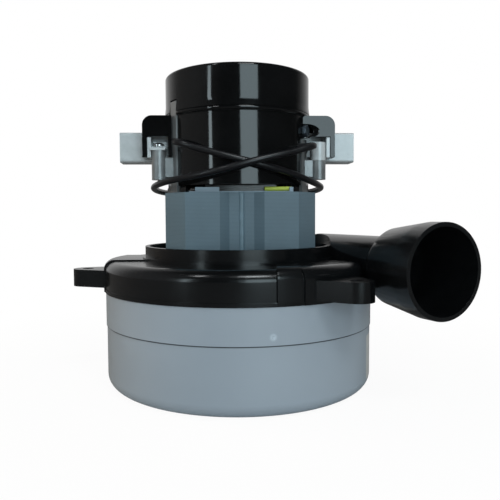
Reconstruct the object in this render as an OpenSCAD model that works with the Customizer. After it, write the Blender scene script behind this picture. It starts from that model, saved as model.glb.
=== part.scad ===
// Two-stage bypass vacuum motor unit with a tangential discharge horn.
// Lengths are in millimetres and angles in degrees.
// The shaft lies on Z, z = 0 is the underside of the fan case and the front faces -Y.

/* [Fan case] */
// Outer radius of the lower shell
shell_r = 72.2; // [71:0.2:76]
// Sheet thickness of both shells
shell_wall = 1; // [0.8:0.1:1.3]
// How far the upper shell stands proud of the lower one
shell_step = 0.4; // [0.3:0.1:0.7]
// Height of the lower shell, from the floor to the seam
lower_shell_h = 33.3; // [31:0.5:40]
// Height of the upper shell that shows
upper_shell_h = 17.4; // [16:0.5:22]
// Rounding between the wall and the floor of the lower shell
shell_fillet = 7; // [4:0.5:9]
// Length of the lower shell's rim inside the upper shell
nest_h = 3.5; // [2:0.5:5]
// Radius of the air inlet in the floor
inlet_r = 25.4; // [20:0.2:28]
// Height of the lip turned up round the inlet
inlet_lip_h = 4.5; // [3:0.5:5]

/* [Fans] */
// Outer radius of both rotating fans
fan_r = 61; // [56:0.5:63]
// Overall height of the first-stage fan
first_fan_h = 10; // [8:0.5:11]
// Running clearance above and below each fan
fan_gap = 1.5; // [1:0.1:1.8]
// Sheet thickness of the fans and of the stationary fan
fan_sheet = 1; // [0.8:0.1:1.3]
// Blades in each rotating fan
fan_blades = 7; // [5:1:9]
// Return vanes in the stationary fan
return_vanes = 9; // [7:1:12]

/* [Fan-end bracket] */
// Height of the rounded shoulder above the upper shell
shoulder_h = 16.3; // [15:0.5:19]
// Rounding of the shoulder
shoulder_fillet = 5.5; // [4:0.5:7]
// Moulded wall thickness
moulding = 2.5; // [2:0.1:3]
// Outer radius of the collar round the field
collar_r = 51.3; // [51:0.1:52]
// Wall thickness of the collar
collar_wall = 2.2; // [1.8:0.1:2.3]
// How far the collar covers the foot of the field
collar_cover = 8.5; // [6:0.5:10]
// Distance of the mounting holes from the shaft
ear_reach = 84.3; // [83:0.1:90]
// Radius of the mounting holes
ear_hole_r = 3.1; // [2.5:0.1:4]
// Rounding radius of each ear
ear_r = 8; // [7:0.5:9]
// Thickness of the ears
ear_t = 9.4; // [6:0.2:10]
// Height of the ears' underside above the upper shell
ear_rise = 1.5; // [1:0.1:3]

/* [Horn] */
// Outer radius of the horn's mouth
horn_r = 22.25; // [21:0.25:23]
// Wall thickness of the horn
horn_wall = 2; // [1.6:0.1:2.4]
// Outer radius of the horn's neck
neck_r = 14.6; // [14:0.1:15.4]
// Distance from the shaft to the horn's axis
horn_side = 53.4; // [52:0.2:55]
// Distance from the shaft to the mouth, along the horn
horn_reach = 100.3; // [96:0.5:108]
// Turn of the horn from straight forward towards +X
horn_turn = 25.5; // [20:0.5:30]
// Outer radius of the horn where its wide part ends
horn_body_r = 19.2; // [18:0.1:20]
// Length of the tapered part of the horn
horn_taper_l = 22; // [18:0.5:26]

/* [Motor] */
// Turn of the motor frame on the fan-end bracket
motor_turn = 3; // [0:0.5:5]
// Width of the field stack across the brushes
field_w = 76.6; // [76:0.2:79]
// Depth of the field stack
field_d = 80; // [79:0.2:82]
// Height of the field stack
field_h = 36.4; // [30:0.5:42]
// Radius of the armature core
armature_r = 20.5; // [18:0.1:20.8]
// Air gap between the armature and the field
air_gap = 0.7; // [0.4:0.1:1]
// Radius of the shaft
shaft_r = 4; // [3.6:0.1:4.2]
// Radius of the commutator
commutator_r = 12.5; // [11:0.1:13]
// Bars in the commutator
commutator_bars = 22; // [16:2:28]
// Height of the brush axis above the field stack
brush_rise = 25.4; // [24:0.2:28]

/* [Brushes] */
// Height of a carbon brush, along the shaft
brush_h = 10.8; // [9:0.2:11.4]
// Width of a carbon brush
brush_w = 6.2; // [5:0.2:7]
// Length of a new carbon brush
brush_l = 24; // [20:0.5:27]
// Height of the moulded brush housing
housing_h = 16.1; // [15.2:0.1:17]
// Width of the moulded brush housing
housing_w = 13.6; // [12:0.2:14]
// Distance from the shaft to the outer end of a brush housing
housing_reach = 63.8; // [62:0.2:66]
// Outward travel of a brush against its spring
brush_travel = 10; // [6:0.5:11]

/* [Bearings] */
// Outer radius of both ball bearings
bearing_r = 11; // [11:0.5:12]
// Width of both ball bearings
bearing_w = 7; // [6.6:0.1:8]
// Balls in each bearing
bearing_balls = 7; // [6:1:8]

/* [Fan cover] */
// Outer radius of the cooling-fan cover
cover_r = 39.3; // [39.1:0.1:40]
// How far the lower part of the cover steps in
cover_step = 0.6; // [0.4:0.1:1]
// Wall thickness of the cover
cover_wall = 1.8; // [1.5:0.1:2]
// Gap between the field stack and the cover
cover_gap = 4; // [3:0.1:4.5]
// Height of the lower part of the cover, up to its step
cover_lower_h = 37.2; // [36.6:0.1:40]
// Height of the upper part of the cover
cover_upper_h = 21.8; // [21:0.5:26]
// Radius of the cooling-air opening in the top
cover_opening_r = 27; // [20:0.5:30]
// Reach of the hoods over the brushes
hood_reach = 50.4; // [50.2:0.1:54]
// Half width of each hood
hood_half_w = 19.5; // [19:0.1:21]
// Height of a hood above the brush axis
hood_rise = 15; // [14.6:0.2:17]

/* [Leads] */
// Outer diameter of each lead
lead_d = 3.3; // [2.8:0.1:3.4]

/* [Hidden] */
$fn = 96;

// Overlap that joins two shapes of one piece
joint = 0.2;
// Clearance of a piece seated on a shaft or in a bore
seat_clear = 0.02;
// Running clearance of a sliding or turning fit
run_clear = 0.06;
// Clearance between pieces that only lie beside each other
lie_clear = 0.3;

// Heights of the fan case
z_seam = lower_shell_h;
z_rim = z_seam + nest_h;
z_spigot = z_rim + fan_sheet;
z_skirt = z_seam + upper_shell_h;
z_shoulder = z_skirt + shoulder_h;
upper_r = shell_r + shell_step;
upper_inner_r = upper_r - shell_wall;
nest_clear = 0.1;
rim_r = upper_inner_r - nest_clear;
jog_drop = 1.6;
eye_collar_h = 4.8;
z_first_fan = inlet_lip_h + 0.5 + eye_collar_h;
z_return = z_first_fan + first_fan_h + fan_gap + 0.5;
z_deck = z_skirt - 0.4;
z_second_fan = z_spigot + fan_gap;
second_fan_h = z_deck - fan_gap - z_second_fan;

// Heights of the bearings, the field and the armature
deck_t = 2.5;
seat_floor = 1.5;
z_lower_bearing = z_deck + seat_floor;
z_hub = z_lower_bearing + bearing_w;
retainer_t = 0.8;
retainer_screw_r = 0.9;
end_turn_clear = 0.9;
lower_end_turn_h = 7.5;
upper_end_turn_h = 11;
core_inset = 2;
z_core = z_hub + retainer_t + end_turn_clear + lower_end_turn_h;
z_stack = z_core - core_inset;
z_stack_top = z_stack + field_h;
core_h = field_h - 2 * core_inset;
z_collar = z_stack + collar_cover;
brush_z = z_stack_top + brush_rise;
z_cover = z_stack_top + cover_gap;
z_step = z_cover + cover_lower_h;
z_cover_top = z_step + cover_upper_h;
z_leg_top = brush_z + 22;
z_upper_bearing = brush_z + 13.2;
preload_h = 0.9;
z_upper_seat = z_upper_bearing - preload_h;
z_vent_disc = z_upper_bearing + bearing_w + 3.2;
vent_blade_h = z_cover_top - cover_wall - 1.6 - z_vent_disc;
z_vent_hub = z_upper_bearing + bearing_w + seat_clear;
vent_hub_h = vent_blade_h - 2;

// Rotor
shaft_low_z = inlet_lip_h + 0.2;
shaft_high_z = z_cover_top - 3;
fan_hub_r = 10;
spacer_r = 6.5;
fan_eye_r = inlet_r - 1.4;
ball_track_r = (shaft_r + bearing_r) / 2;
ball_r = (bearing_r - shaft_r) * 0.283;
race_gap = ball_r * 0.95;
track_clear = 0.05;

// Bracket
flange_r = upper_r + 0.5;
flange_h = 1.95;
collar_foot_r = collar_r + 1.5;
collar_foot_h = 1.6;

// Horn
horn_lip = 8;
horn_step_l = 7;
z_horn = z_skirt + neck_r;

// Field
field_bore_r = armature_r + air_gap;
field_corner = 10.4;
field_bevel = 2;
recess_half_w = 11;
recess_floor_half_w = 6.2;
recess_depth = 4;
bolt_x = field_w / 2 - 3.8;
bolt_y = 11.8;
bolt_r = 2;
bolt_head_r = 3.2;
foot_h = 3.2;
pillar_r = 4;
slot_side_x = field_w / 2 - 11.3;
slot_end_y = field_d / 2 - 9;
coil_window_x = 15.2;

// Commutator bracket
leg_angle = 29.4;
leg_w = 6.4;
leg_t = 3;
leg_r = cover_r;
leg_inner_r = cover_r - cover_step - cover_wall - lie_clear;
post_x = 42;
post_y = 17.4;
post_r = 3.8;
z_post_low = brush_z - 18.2;
z_screw_post = brush_z - 3;
z_eye_post = brush_z - 8.2;
z_cover_screw = brush_z + 7;
z_leg_step = brush_z + 2.6;
cover_screw_r = 1.4;

// Brush housings, their clamps and the hoods over them
flange_x = 46;
flange_t = 1.8;
flange_half_w = 19;
tab_t = 1.3;
clip_t = 0.7;
clamp_screw_r = 1.5;
clamp_hole_r = 1.7;
eye_pin_r = 1.8;
sleeve_t = 0.6;
sleeve_back = housing_reach - 2.6;
hood_corner = 5;
hood_drop = 6.5;
hood_end_wall = 2.4;

// Lead routes: x, y and z of the points that each lead follows
lead_one_route = [
    [-27.22, -24.17, 128.6], [-29.31, -26.03, 128.6], [-30.93, -28.16, 128.4], [-31.55, -30.95, 128.1],
    [-30.93, -33.74, 127.6], [-29.19, -36, 127], [-26.5, -37.6, 126.1], [-21.5, -39.2, 124.4],
    [-13, -40.8, 121.9], [-4, -41.8, 119.4], [5, -41.6, 117.2], [14, -39.6, 115],
    [22, -36.2, 113], [30, -31, 110.8], [37, -24.6, 108.5], [42.4, -16, 107],
    [45.2, -8, 106.2], [46, 0, 105.6], [44.9, 8, 105], [42.2, 15.6, 104.5],
    [37.2, 22.9, 104.6], [30.4, 29.2, 105.6], [22.4, 35, 106.9], [13, 39.2, 106],
    [4, 41.2, 106]
];
lead_two_route = [
    [29.73, -21.17, 126], [32.3, -23, 126], [35.41, -25.21, 126], [37.4, -27.45, 125.9],
    [38.17, -30.32, 125.6], [37.6, -33.23, 125.1], [35.81, -35.6, 124.4], [33.17, -37, 123.6],
    [28, -39, 122], [20, -42, 120], [11, -44.3, 117.8], [2, -45.2, 115.5],
    [-7, -44.6, 113.2], [-16, -42.2, 111.3], [-25, -38, 109.8], [-33, -32, 108.7],
    [-39.4, -24.8, 107.6], [-43.6, -16.6, 106.7], [-45.6, -8, 106], [-45.8, 0, 105.4],
    [-44.6, 8, 104.8], [-42.2, 16, 104.4], [-38.6, 24, 104.3], [-33, 31.4, 104.3],
    [-25, 37.6, 104.3]
];

// A ring about Z, from radius a to radius b
module ring(a, b, h) {
    difference() {
        cylinder(r = b, h = h);
        translate([0, 0, -1]) cylinder(r = a, h = h + 2);
    }
}

// Turns its children with the motor frame
module motor_frame() {
    rotate([0, 0, motor_turn]) children();
}

// Children at their place and turned half a turn about the shaft
module both_sides() {
    children();
    rotate([0, 0, 180]) children();
}

// Children in all four quarters of the motor frame
module four_quarters() {
    children();
    mirror([1, 0, 0]) children();
    mirror([0, 1, 0]) children();
    mirror([1, 0, 0]) mirror([0, 1, 0]) children();
}

// Outline of one swept blade: an arc that runs from radius a to radius b
module swept_blade(a, b, t, lean) {
    arc_r = (a + b) * 0.42;
    arc_x = (a + b) / 2 - lean;
    intersection() {
        difference() {
            circle(r = b);
            circle(r = a);
        }
        translate([arc_x, 0]) difference() {
            circle(r = arc_r + t / 2);
            circle(r = arc_r - t / 2);
        }
        translate([0, b / 2]) square([2 * b, b], center = true);
    }
}

// Rounded rectangle centred on the origin
module round_rect(w, h, r) {
    square([w - 2 * r, h], center = true);
    square([w, h - 2 * r], center = true);
    for (x = [-1, 1], y = [-1, 1]) translate([x * (w / 2 - r), y * (h / 2 - r)]) circle(r = r);
}

// Corners of one ring of a tube, square to the run from p to q
function unit(v) = v / norm(v);
function side_dir(d) = abs(d[2]) > 0.9 ? unit(cross(d, [1, 0, 0])) : unit(cross(d, [0, 0, 1]));
function tube_ring(c, d, r, n) =
    let (u = side_dir(d), v = cross(u, d))
    [for (i = [0 : n - 1]) c + r * (cos(360 * i / n) * u + sin(360 * i / n) * v)];
function run_dir(p, i) =
    i == 0 ? unit(p[1] - p[0])
    : i == len(p) - 1 ? unit(p[i] - p[i - 1])
    : unit(p[i + 1] - p[i - 1]);

// Closed tube of n sides along the points p
module swept_tube(p, r, n) {
    last = len(p) - 1;
    points = [for (i = [0 : last]) each tube_ring(p[i], run_dir(p, i), r, n)];
    walls = [
        for (i = [0 : last - 1], j = [0 : n - 1])
            let (a = i * n + j, b = i * n + (j + 1) % n)
            each [[a, b, b + n], [a, b + n, a + n]]
    ];
    caps = [
        for (j = [1 : n - 2]) each [[0, j + 1, j], [last * n, last * n + j, last * n + j + 1]]
    ];
    polyhedron(points, concat(walls, caps));
}

// Lower shell: a drawn cup with the air inlet in its floor and a joggled rim
module lower_shell() {
    color([0.5, 0.56, 0.62]) rotate_extrude() {
        difference() {
            union() {
                square([shell_r - shell_fillet, z_seam - 0.1]);
                translate([0, shell_fillet]) square([shell_r, z_seam - 0.1 - shell_fillet]);
                translate([shell_r - shell_fillet, shell_fillet]) circle(r = shell_fillet);
            }
            translate([-1, shell_wall]) square([shell_r - shell_fillet + 1, z_seam]);
            translate([-1, shell_fillet]) square([shell_r - shell_wall + 1, z_seam]);
            translate([shell_r - shell_fillet, shell_fillet]) circle(r = shell_fillet - shell_wall);
            translate([-1, -1]) square([inlet_r + 1, shell_wall + 2]);
            translate([-100, -1]) square([100, z_seam + 2]);
        }
        translate([inlet_r, 0]) square([shell_wall, inlet_lip_h]);
        translate([rim_r - shell_wall, z_seam - jog_drop]) square([shell_wall, jog_drop + nest_h]);
        translate([rim_r - shell_wall, z_seam - jog_drop])
            square([shell_r - 0.1 - rim_r + shell_wall, shell_wall]);
    }
}

// Upper shell: a plain band pressed over the rim and the bracket's spigot, staked in place
module upper_shell() {
    stake_r = 1.3;
    color([0.53, 0.59, 0.65]) difference() {
        translate([0, 0, z_seam]) ring(upper_inner_r, upper_r, upper_shell_h);
        for (a = [12 : 120 : 372]) rotate([0, 0, a - 90])
            translate([upper_r + stake_r * 0.75, 0, z_seam + 4]) sphere(r = stake_r, $fn = 48);
    }
}

// A rotating fan: back plate above, shroud with its eye below, swept blades between
module fan_wheel(h) {
    ring(shaft_r + seat_clear, fan_hub_r, h);
    translate([0, 0, h - fan_sheet]) ring(shaft_r + seat_clear, fan_r, fan_sheet);
    ring(fan_eye_r, fan_r, fan_sheet);
    for (i = [0 : fan_blades - 1]) rotate([0, 0, 360 * i / fan_blades])
        linear_extrude(h) swept_blade(fan_hub_r + 6, fan_r - 0.5, fan_sheet, 4);
}

module first_stage_fan() {
    color([0.78, 0.79, 0.8]) translate([0, 0, z_first_fan]) {
        fan_wheel(first_fan_h);
        translate([0, 0, -eye_collar_h])
            ring(fan_eye_r - fan_sheet, fan_eye_r + joint, eye_collar_h + fan_sheet - joint);
    }
}

module second_stage_fan() {
    color([0.78, 0.79, 0.8]) translate([0, 0, z_second_fan]) fan_wheel(second_fan_h);
}

// Stationary fan: a flange held on the shell's rim, return vanes and a lower plate
module stationary_fan() {
    plate_r = fan_r + 2.5;
    vane_h = z_rim - z_return + joint;
    color([0.7, 0.72, 0.74]) {
        translate([0, 0, z_rim]) ring(fan_eye_r, rim_r, fan_sheet);
        translate([0, 0, z_return]) ring(spacer_r + 1.2, plate_r, fan_sheet);
        for (i = [0 : return_vanes - 1]) rotate([0, 0, 360 * i / return_vanes + 9])
            mirror([0, 1, 0]) translate([0, 0, z_return + joint])
                linear_extrude(vane_h) swept_blade(fan_eye_r + 1, plate_r - 0.5, 1.2, 6);
    }
}

// Hexagon nut with its thread bore
module nut(across, h, bore) {
    difference() {
        cylinder(r = across / sqrt(3), h = h, $fn = 6);
        translate([0, 0, -1]) cylinder(r = bore, h = h + 2);
    }
}

module fan_nut() {
    color([0.72, 0.7, 0.6]) translate([0, 0, z_first_fan - 4.8]) nut(12.6, 4, shaft_r + seat_clear);
}

module fan_washers() {
    color([0.75, 0.76, 0.78]) {
        translate([0, 0, z_first_fan - 0.8]) ring(shaft_r + seat_clear, 9, 0.8);
        translate([0, 0, z_first_fan + first_fan_h]) ring(shaft_r + seat_clear, 9, 0.8);
        translate([0, 0, z_second_fan - 0.8]) ring(shaft_r + seat_clear, 9, 0.8);
    }
}

module fan_spacers() {
    long_z = z_first_fan + first_fan_h + 0.8;
    top_z = z_second_fan + second_fan_h;
    color([0.74, 0.72, 0.64]) {
        translate([0, 0, long_z]) ring(shaft_r + seat_clear, spacer_r, z_second_fan - 0.8 - long_z);
        translate([0, 0, top_z]) ring(shaft_r + seat_clear, shaft_r + 1.6, z_lower_bearing - top_z);
    }
}

// Half section of the horn: x is the radius and y runs back from the mouth at 0
module horn_profile(inset, back) {
    taper_end = horn_lip + horn_taper_l;
    polygon([
        [0, 0], [horn_r - inset, 0], [horn_r - inset, -horn_lip], [horn_body_r - inset, -taper_end],
        [neck_r - inset, -taper_end - horn_step_l], [neck_r - inset, -back], [0, -back]
    ]);
}

// Places its children on the horn's axis, z pointing out of the mouth
module on_horn() {
    rotate([0, 0, horn_turn]) translate([horn_side, -horn_reach, z_horn]) rotate([90, 0, 0]) children();
}

// Outside of the horn, with the rounded rear end of its neck
module horn_body() {
    on_horn() {
        rotate_extrude() horn_profile(0, horn_reach - 4);
        translate([0, 0, 4 - horn_reach]) sphere(r = neck_r);
    }
}

// Inside of the horn, which stops short of the collar
module horn_bore() {
    stop = sqrt(pow(collar_r + moulding, 2) - pow(horn_side - neck_r + horn_wall, 2));
    on_horn() translate([0, 0, joint]) rotate_extrude() horn_profile(horn_wall, horn_reach - stop);
}

// Outline of one mounting ear, from inside the shoulder to its rounded end
module ear_outline() {
    root_x = shell_r - 5;
    root_w = 15.4;
    away_x = ear_reach - root_x;
    tangent = atan2(root_w, -away_x) - acos(ear_r / norm([away_x, root_w]));
    end_x = ear_reach + ear_r * cos(tangent);
    end_w = ear_r * sin(tangent);
    polygon([[root_x, -root_w], [end_x, -end_w], [end_x, end_w], [root_x, root_w]]);
    translate([ear_reach, 0]) circle(r = ear_r);
}

ear_angles = [180, -51.3, 64.4];

// Shoulder of the bracket: the solid of revolution that roofs the volute
module shoulder_solid(grow) {
    r = upper_r + 0.2 + grow;
    f = shoulder_fillet;
    h = shoulder_h + grow;
    translate([0, 0, z_skirt]) rotate_extrude() {
        square([r - f, h]);
        square([r, h - f]);
        translate([r - f, h - f]) circle(r = f);
    }
}

// Raised pads of the shoulder behind the ears
module ear_pads(grow) {
    intersection() {
        shoulder_solid(0.8 + grow);
        for (a = ear_angles) rotate([0, 0, a]) translate([shell_r, 0, z_skirt + 30])
            cube([60, 38 + 2 * grow, 60], center = true);
    }
}

// Raised pad of the shoulder at the front
module front_pad() {
    intersection() {
        shoulder_solid(1.2);
        translate([17, -upper_r - 3, z_skirt + ear_rise]) cube([11, 25, 30]);
    }
}

// Fan-end bracket: volute, collar, bearing hub, field pillars and ears in one moulding
module fan_end_bracket() {
    volute_r = upper_inner_r - moulding - 0.2;
    core_r = collar_r - collar_wall;
    roof = z_shoulder - moulding;
    color([0.07, 0.07, 0.08]) difference() {
        union() {
            difference() {
                union() {
                    shoulder_solid(0);
                    translate([0, 0, z_skirt]) cylinder(r = flange_r, h = flange_h);
                    translate([0, 0, z_spigot])
                        cylinder(r = upper_inner_r - nest_clear, h = z_skirt - z_spigot + joint);
                    ear_pads(0);
                    for (a = ear_angles) rotate([0, 0, a]) translate([0, 0, z_skirt + ear_rise])
                        linear_extrude(ear_t) ear_outline();
                    front_pad();
                }
                translate([0, 0, z_spigot - 1]) cylinder(r = volute_r, h = roof - z_spigot + 1);
                horn_bore();
                for (a = ear_angles) rotate([0, 0, a]) translate([ear_reach, 0, z_skirt - 5])
                    cylinder(r = ear_hole_r, h = 30);
                translate([0, 0, z_deck]) cylinder(r = core_r, h = 60);
            }
            translate([0, 0, z_deck]) ring(core_r, collar_r, z_collar - z_deck);
            translate([0, 0, z_shoulder - joint])
                ring(collar_r - joint, collar_foot_r, collar_foot_h + joint);
            translate([0, 0, z_deck]) ring(spacer_r + 1.5, collar_r - joint, deck_t);
            translate([0, 0, z_deck]) ring(spacer_r + 1.5, bearing_r + 3, seat_floor);
            translate([0, 0, z_deck + joint])
                ring(bearing_r + seat_clear, bearing_r + 3.4, z_hub - z_deck - joint);
            motor_frame() four_quarters() translate([bolt_x, bolt_y, z_deck + joint])
                cylinder(r = pillar_r, h = z_stack - z_deck - joint - seat_clear);
        }
        translate([0, 0, z_lower_bearing]) cylinder(r = bearing_r + seat_clear, h = 20);
        motor_frame() four_quarters() translate([bolt_x, bolt_y, z_deck + 3])
            cylinder(r = bolt_r + seat_clear, h = 30);
        at_retainer_screws() translate([0, 0, z_hub - 5])
            cylinder(r = retainer_screw_r + seat_clear, h = 6);
    }
}

// Discharge horn: runs over the shoulder beside the collar and opens out to the round mouth
module discharge_horn() {
    color([0.07, 0.07, 0.08]) difference() {
        horn_body();
        horn_bore();
        shoulder_solid(seat_clear);
        ear_pads(seat_clear);
        translate([0, 0, z_seam])
            cylinder(r = flange_r + seat_clear, h = upper_shell_h + flange_h + seat_clear);
        translate([0, 0, z_seam]) cylinder(r = collar_r + seat_clear, h = 80);
        translate([0, 0, z_seam])
            cylinder(r = collar_foot_r + seat_clear, h = z_shoulder + collar_foot_h + seat_clear - z_seam);
    }
}

module air_seal() {
    color([0.25, 0.25, 0.26]) translate([0, 0, z_deck])
        ring(shaft_r + 1.6 + lie_clear, spacer_r + 1.5 - seat_clear, seat_floor - 0.2);
}

// Groove that the balls run in
module ball_track() {
    translate([0, 0, bearing_w / 2]) rotate_extrude() translate([ball_track_r, 0])
        circle(r = ball_r + track_clear);
}

// Outer race of a ball bearing, its underside at z = 0
module race_outer() {
    difference() {
        ring(ball_track_r + race_gap, bearing_r, bearing_w);
        ball_track();
    }
}

// Inner race of a ball bearing, its underside at z = 0
module race_inner() {
    difference() {
        ring(shaft_r + seat_clear, ball_track_r - race_gap, bearing_w);
        ball_track();
    }
}

// Places its children at each ball of a bearing
module at_balls() {
    for (i = [0 : bearing_balls - 1]) rotate([0, 0, 360 * i / bearing_balls])
        translate([ball_track_r, 0, bearing_w / 2]) children();
}

// Ring with a pocket for each ball
module ball_cage() {
    half = ball_r * 0.4;
    difference() {
        translate([0, 0, bearing_w / 2 - ball_r - 0.35])
            ring(ball_track_r - half, ball_track_r + half, 2 * ball_r + 0.7);
        at_balls() rotate([0, 90, 0]) cylinder(r = ball_r + run_clear, h = 4, center = true);
    }
}

module lower_bearing_outer() {
    color([0.75, 0.76, 0.78]) translate([0, 0, z_lower_bearing]) race_outer();
}

module lower_bearing_inner() {
    color([0.75, 0.76, 0.78]) translate([0, 0, z_lower_bearing]) race_inner();
}

module lower_bearing_balls() {
    color([0.85, 0.86, 0.88]) translate([0, 0, z_lower_bearing]) at_balls() sphere(r = ball_r);
}

module lower_bearing_cage() {
    color([0.75, 0.62, 0.35]) translate([0, 0, z_lower_bearing]) ball_cage();
}

module upper_bearing_outer() {
    color([0.75, 0.76, 0.78]) translate([0, 0, z_upper_bearing]) race_outer();
}

module upper_bearing_inner() {
    color([0.75, 0.76, 0.78]) translate([0, 0, z_upper_bearing]) race_inner();
}

module upper_bearing_balls() {
    color([0.85, 0.86, 0.88]) translate([0, 0, z_upper_bearing]) at_balls() sphere(r = ball_r);
}

module upper_bearing_cage() {
    color([0.75, 0.62, 0.35]) translate([0, 0, z_upper_bearing]) ball_cage();
}

// Places its children on the three screws of the bearing retainer
module at_retainer_screws() {
    for (a = [0 : 120 : 240]) rotate([0, 0, a]) translate([bearing_r + 1.75, 0, 0]) children();
}

// Steel ring that holds the lower bearing in its hub
module bearing_retainer() {
    color([0.7, 0.71, 0.73]) translate([0, 0, z_hub + seat_clear]) difference() {
        ring(bearing_r - 1.6, bearing_r + 3.2, retainer_t);
        at_retainer_screws() translate([0, 0, -1]) cylinder(r = retainer_screw_r + seat_clear, h = 4);
    }
}

// Small screws of the retainer, their low heads kept clear of the armature winding
module retainer_screws() {
    screw_l = 4.5;
    color([0.6, 0.61, 0.63]) at_retainer_screws() {
        translate([0, 0, z_hub - screw_l]) cylinder(r = retainer_screw_r, h = screw_l + retainer_t + joint);
        translate([0, 0, z_hub + retainer_t + 2 * seat_clear]) cylinder(r = 1.5, h = 0.5);
    }
}

// Outline of the field stack: bevelled front and rear faces, each with a slanted recess
module field_outline() {
    hw = field_w / 2;
    hd = field_d / 2;
    face = hw - field_corner;
    difference() {
        polygon([
            [hw, hd - field_corner - 1], [face + field_bevel, hd - field_bevel], [face, hd],
            [-face, hd], [-face - field_bevel, hd - field_bevel], [-hw, hd - field_corner - 1],
            [-hw, field_corner + 1 - hd], [-face - field_bevel, field_bevel - hd], [-face, -hd],
            [face, -hd], [face + field_bevel, field_bevel - hd], [hw, field_corner + 1 - hd]
        ]);
        for (side = [1, -1]) polygon([
            [-recess_half_w, side * (hd + 1)], [-recess_half_w, side * hd],
            [-recess_floor_half_w, side * (hd - recess_depth)],
            [recess_floor_half_w, side * (hd - recess_depth)],
            [recess_half_w, side * hd], [recess_half_w, side * (hd + 1)]
        ]);
    }
}

// Winding slot on the +X side, open to the bore between the two poles
module winding_slot() {
    inner_x = field_bore_r + 1.3;
    polygon([
        [coil_window_x - 0.8, slot_end_y], [slot_side_x, slot_end_y], [slot_side_x, -slot_end_y],
        [coil_window_x - 0.8, -slot_end_y], [coil_window_x - 0.8, -slot_end_y + 9],
        [inner_x, -13], [inner_x, -4], [field_bore_r - 2, -4], [field_bore_r - 2, 4],
        [inner_x, 4], [inner_x, 13], [coil_window_x - 0.8, slot_end_y - 9]
    ]);
}

// Field stack, painted, with the weld bead down each recess
module field_laminations() {
    color([0.42, 0.5, 0.58]) motor_frame() {
        translate([0, 0, z_stack]) linear_extrude(field_h) difference() {
            field_outline();
            circle(r = field_bore_r);
            winding_slot();
            mirror([1, 0]) winding_slot();
            for (x = [-1, 1], y = [-1, 1]) translate([x * bolt_x, y * bolt_y])
                circle(r = bolt_r + 0.15);
        }
        both_sides() translate([0, recess_depth + 0.5 - field_d / 2, z_stack + 0.3])
            cylinder(r = 1.3, h = field_h - 0.6);
    }
}

// One field coil round its pole, seen along Y: wide in the slots, crowned at the ends
module coil_face() {
    wide = 2 * (slot_side_x - 0.7);
    crown = 36;
    low = z_stack - 8.5;
    lip = z_stack_top + 2.4;
    top = z_stack_top + 9;
    difference() {
        union() {
            translate([0, (low + lip) / 2]) round_rect(wide, lip - low, 2);
            translate([0, (lip + top) / 2 - 2]) round_rect(crown, top - lip + 4, 4);
        }
        translate([0, (z_stack + z_stack_top) / 2]) round_rect(2 * coil_window_x, field_h + 1.2, 1);
    }
}

module field_coils() {
    depth = 7.4;
    color([0.72, 0.42, 0.2]) motor_frame() both_sides()
        translate([0, slot_end_y - 0.5, 0]) rotate([90, 0, 0]) linear_extrude(depth) coil_face();
}

// Grey insulators that keep each coil off the ends of the stack
module slot_insulators() {
    wall_y = field_d / 2 - 6;
    plate_t = 0.55;
    plate_half = 26;
    wall_t = 0.9;
    wall_z = z_stack_top + plate_t;
    wall_h = cover_gap - plate_t - 1.4;
    color([0.62, 0.66, 0.68]) motor_frame() {
        both_sides() {
            translate([-plate_half, wall_y - 2.7, z_stack_top + seat_clear])
                cube([2 * plate_half, 3.6, plate_t]);
            translate([11, wall_y, wall_z]) cube([12, wall_t, wall_h]);
        }
        translate([plate_half - 2, -wall_y - wall_t, wall_z]) cube([2, wall_t, wall_h]);
    }
}

// Taped splice of the coil wire, lying on the front insulator
module coil_tape() {
    splice_r = 1.15;
    splice_x = 11.7;
    splice_l = 13.8;
    color([0.62, 0.68, 0.12]) motor_frame()
        translate([splice_x, splice_r + 6.5 - field_d / 2, z_stack_top + 0.6 + splice_r])
            rotate([0, 90, 0]) cylinder(r = splice_r, h = splice_l);
}

// Long screws through the bracket's feet and the stack into the pillars
module through_bolts() {
    foot_top = z_stack_top + foot_h + seat_clear;
    color([0.68, 0.69, 0.71]) motor_frame() four_quarters() translate([bolt_x, bolt_y, 0]) {
        translate([0, 0, z_deck + 5]) cylinder(r = bolt_r, h = foot_top - z_deck - 5 + joint);
        translate([0, 0, foot_top]) cylinder(r = bolt_head_r, h = 2.6, $fn = 6);
    }
}

module shaft() {
    step = 0.5;
    color([0.8, 0.81, 0.83]) {
        translate([0, 0, shaft_low_z]) cylinder(r = shaft_r, h = shaft_high_z - shaft_low_z - step);
        translate([0, 0, shaft_high_z - step]) cylinder(r1 = shaft_r, r2 = shaft_r - step, h = step);
    }
}

// Armature core: a slotted stack on the shaft
module armature_core() {
    slots = commutator_bars / 2;
    color([0.5, 0.53, 0.56]) translate([0, 0, z_core]) linear_extrude(core_h) difference() {
        circle(r = armature_r);
        circle(r = shaft_r + seat_clear);
        for (i = [0 : slots - 1]) rotate(360 * i / slots) {
            translate([armature_r, 0]) square([8, 1.8], center = true);
            translate([armature_r - 5.2, 0]) circle(r = 2.1);
        }
    }
}

// End turns of the armature winding below and above the core
module armature_windings() {
    core_edge = armature_r - 3.4;
    core_bore = shaft_r + 1.2;
    color([0.7, 0.36, 0.16]) {
        translate([0, 0, z_core - seat_clear]) mirror([0, 0, 1]) rotate_extrude() {
            translate([core_bore, 0]) square([core_edge - 3 - core_bore, lower_end_turn_h - seat_clear]);
            translate([core_bore, 0]) square([core_edge - core_bore, lower_end_turn_h - 3]);
            translate([core_edge - 3, lower_end_turn_h - 3 - seat_clear]) circle(r = 3);
        }
        translate([0, 0, z_core + core_h + seat_clear]) rotate_extrude() {
            translate([core_bore, 0]) square([core_edge - core_bore, upper_end_turn_h - 5]);
            translate([core_edge - 5, upper_end_turn_h - 5]) circle(r = 5);
            translate([core_bore, 0]) square([core_edge - 5 - core_bore, upper_end_turn_h]);
        }
    }
}

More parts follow.
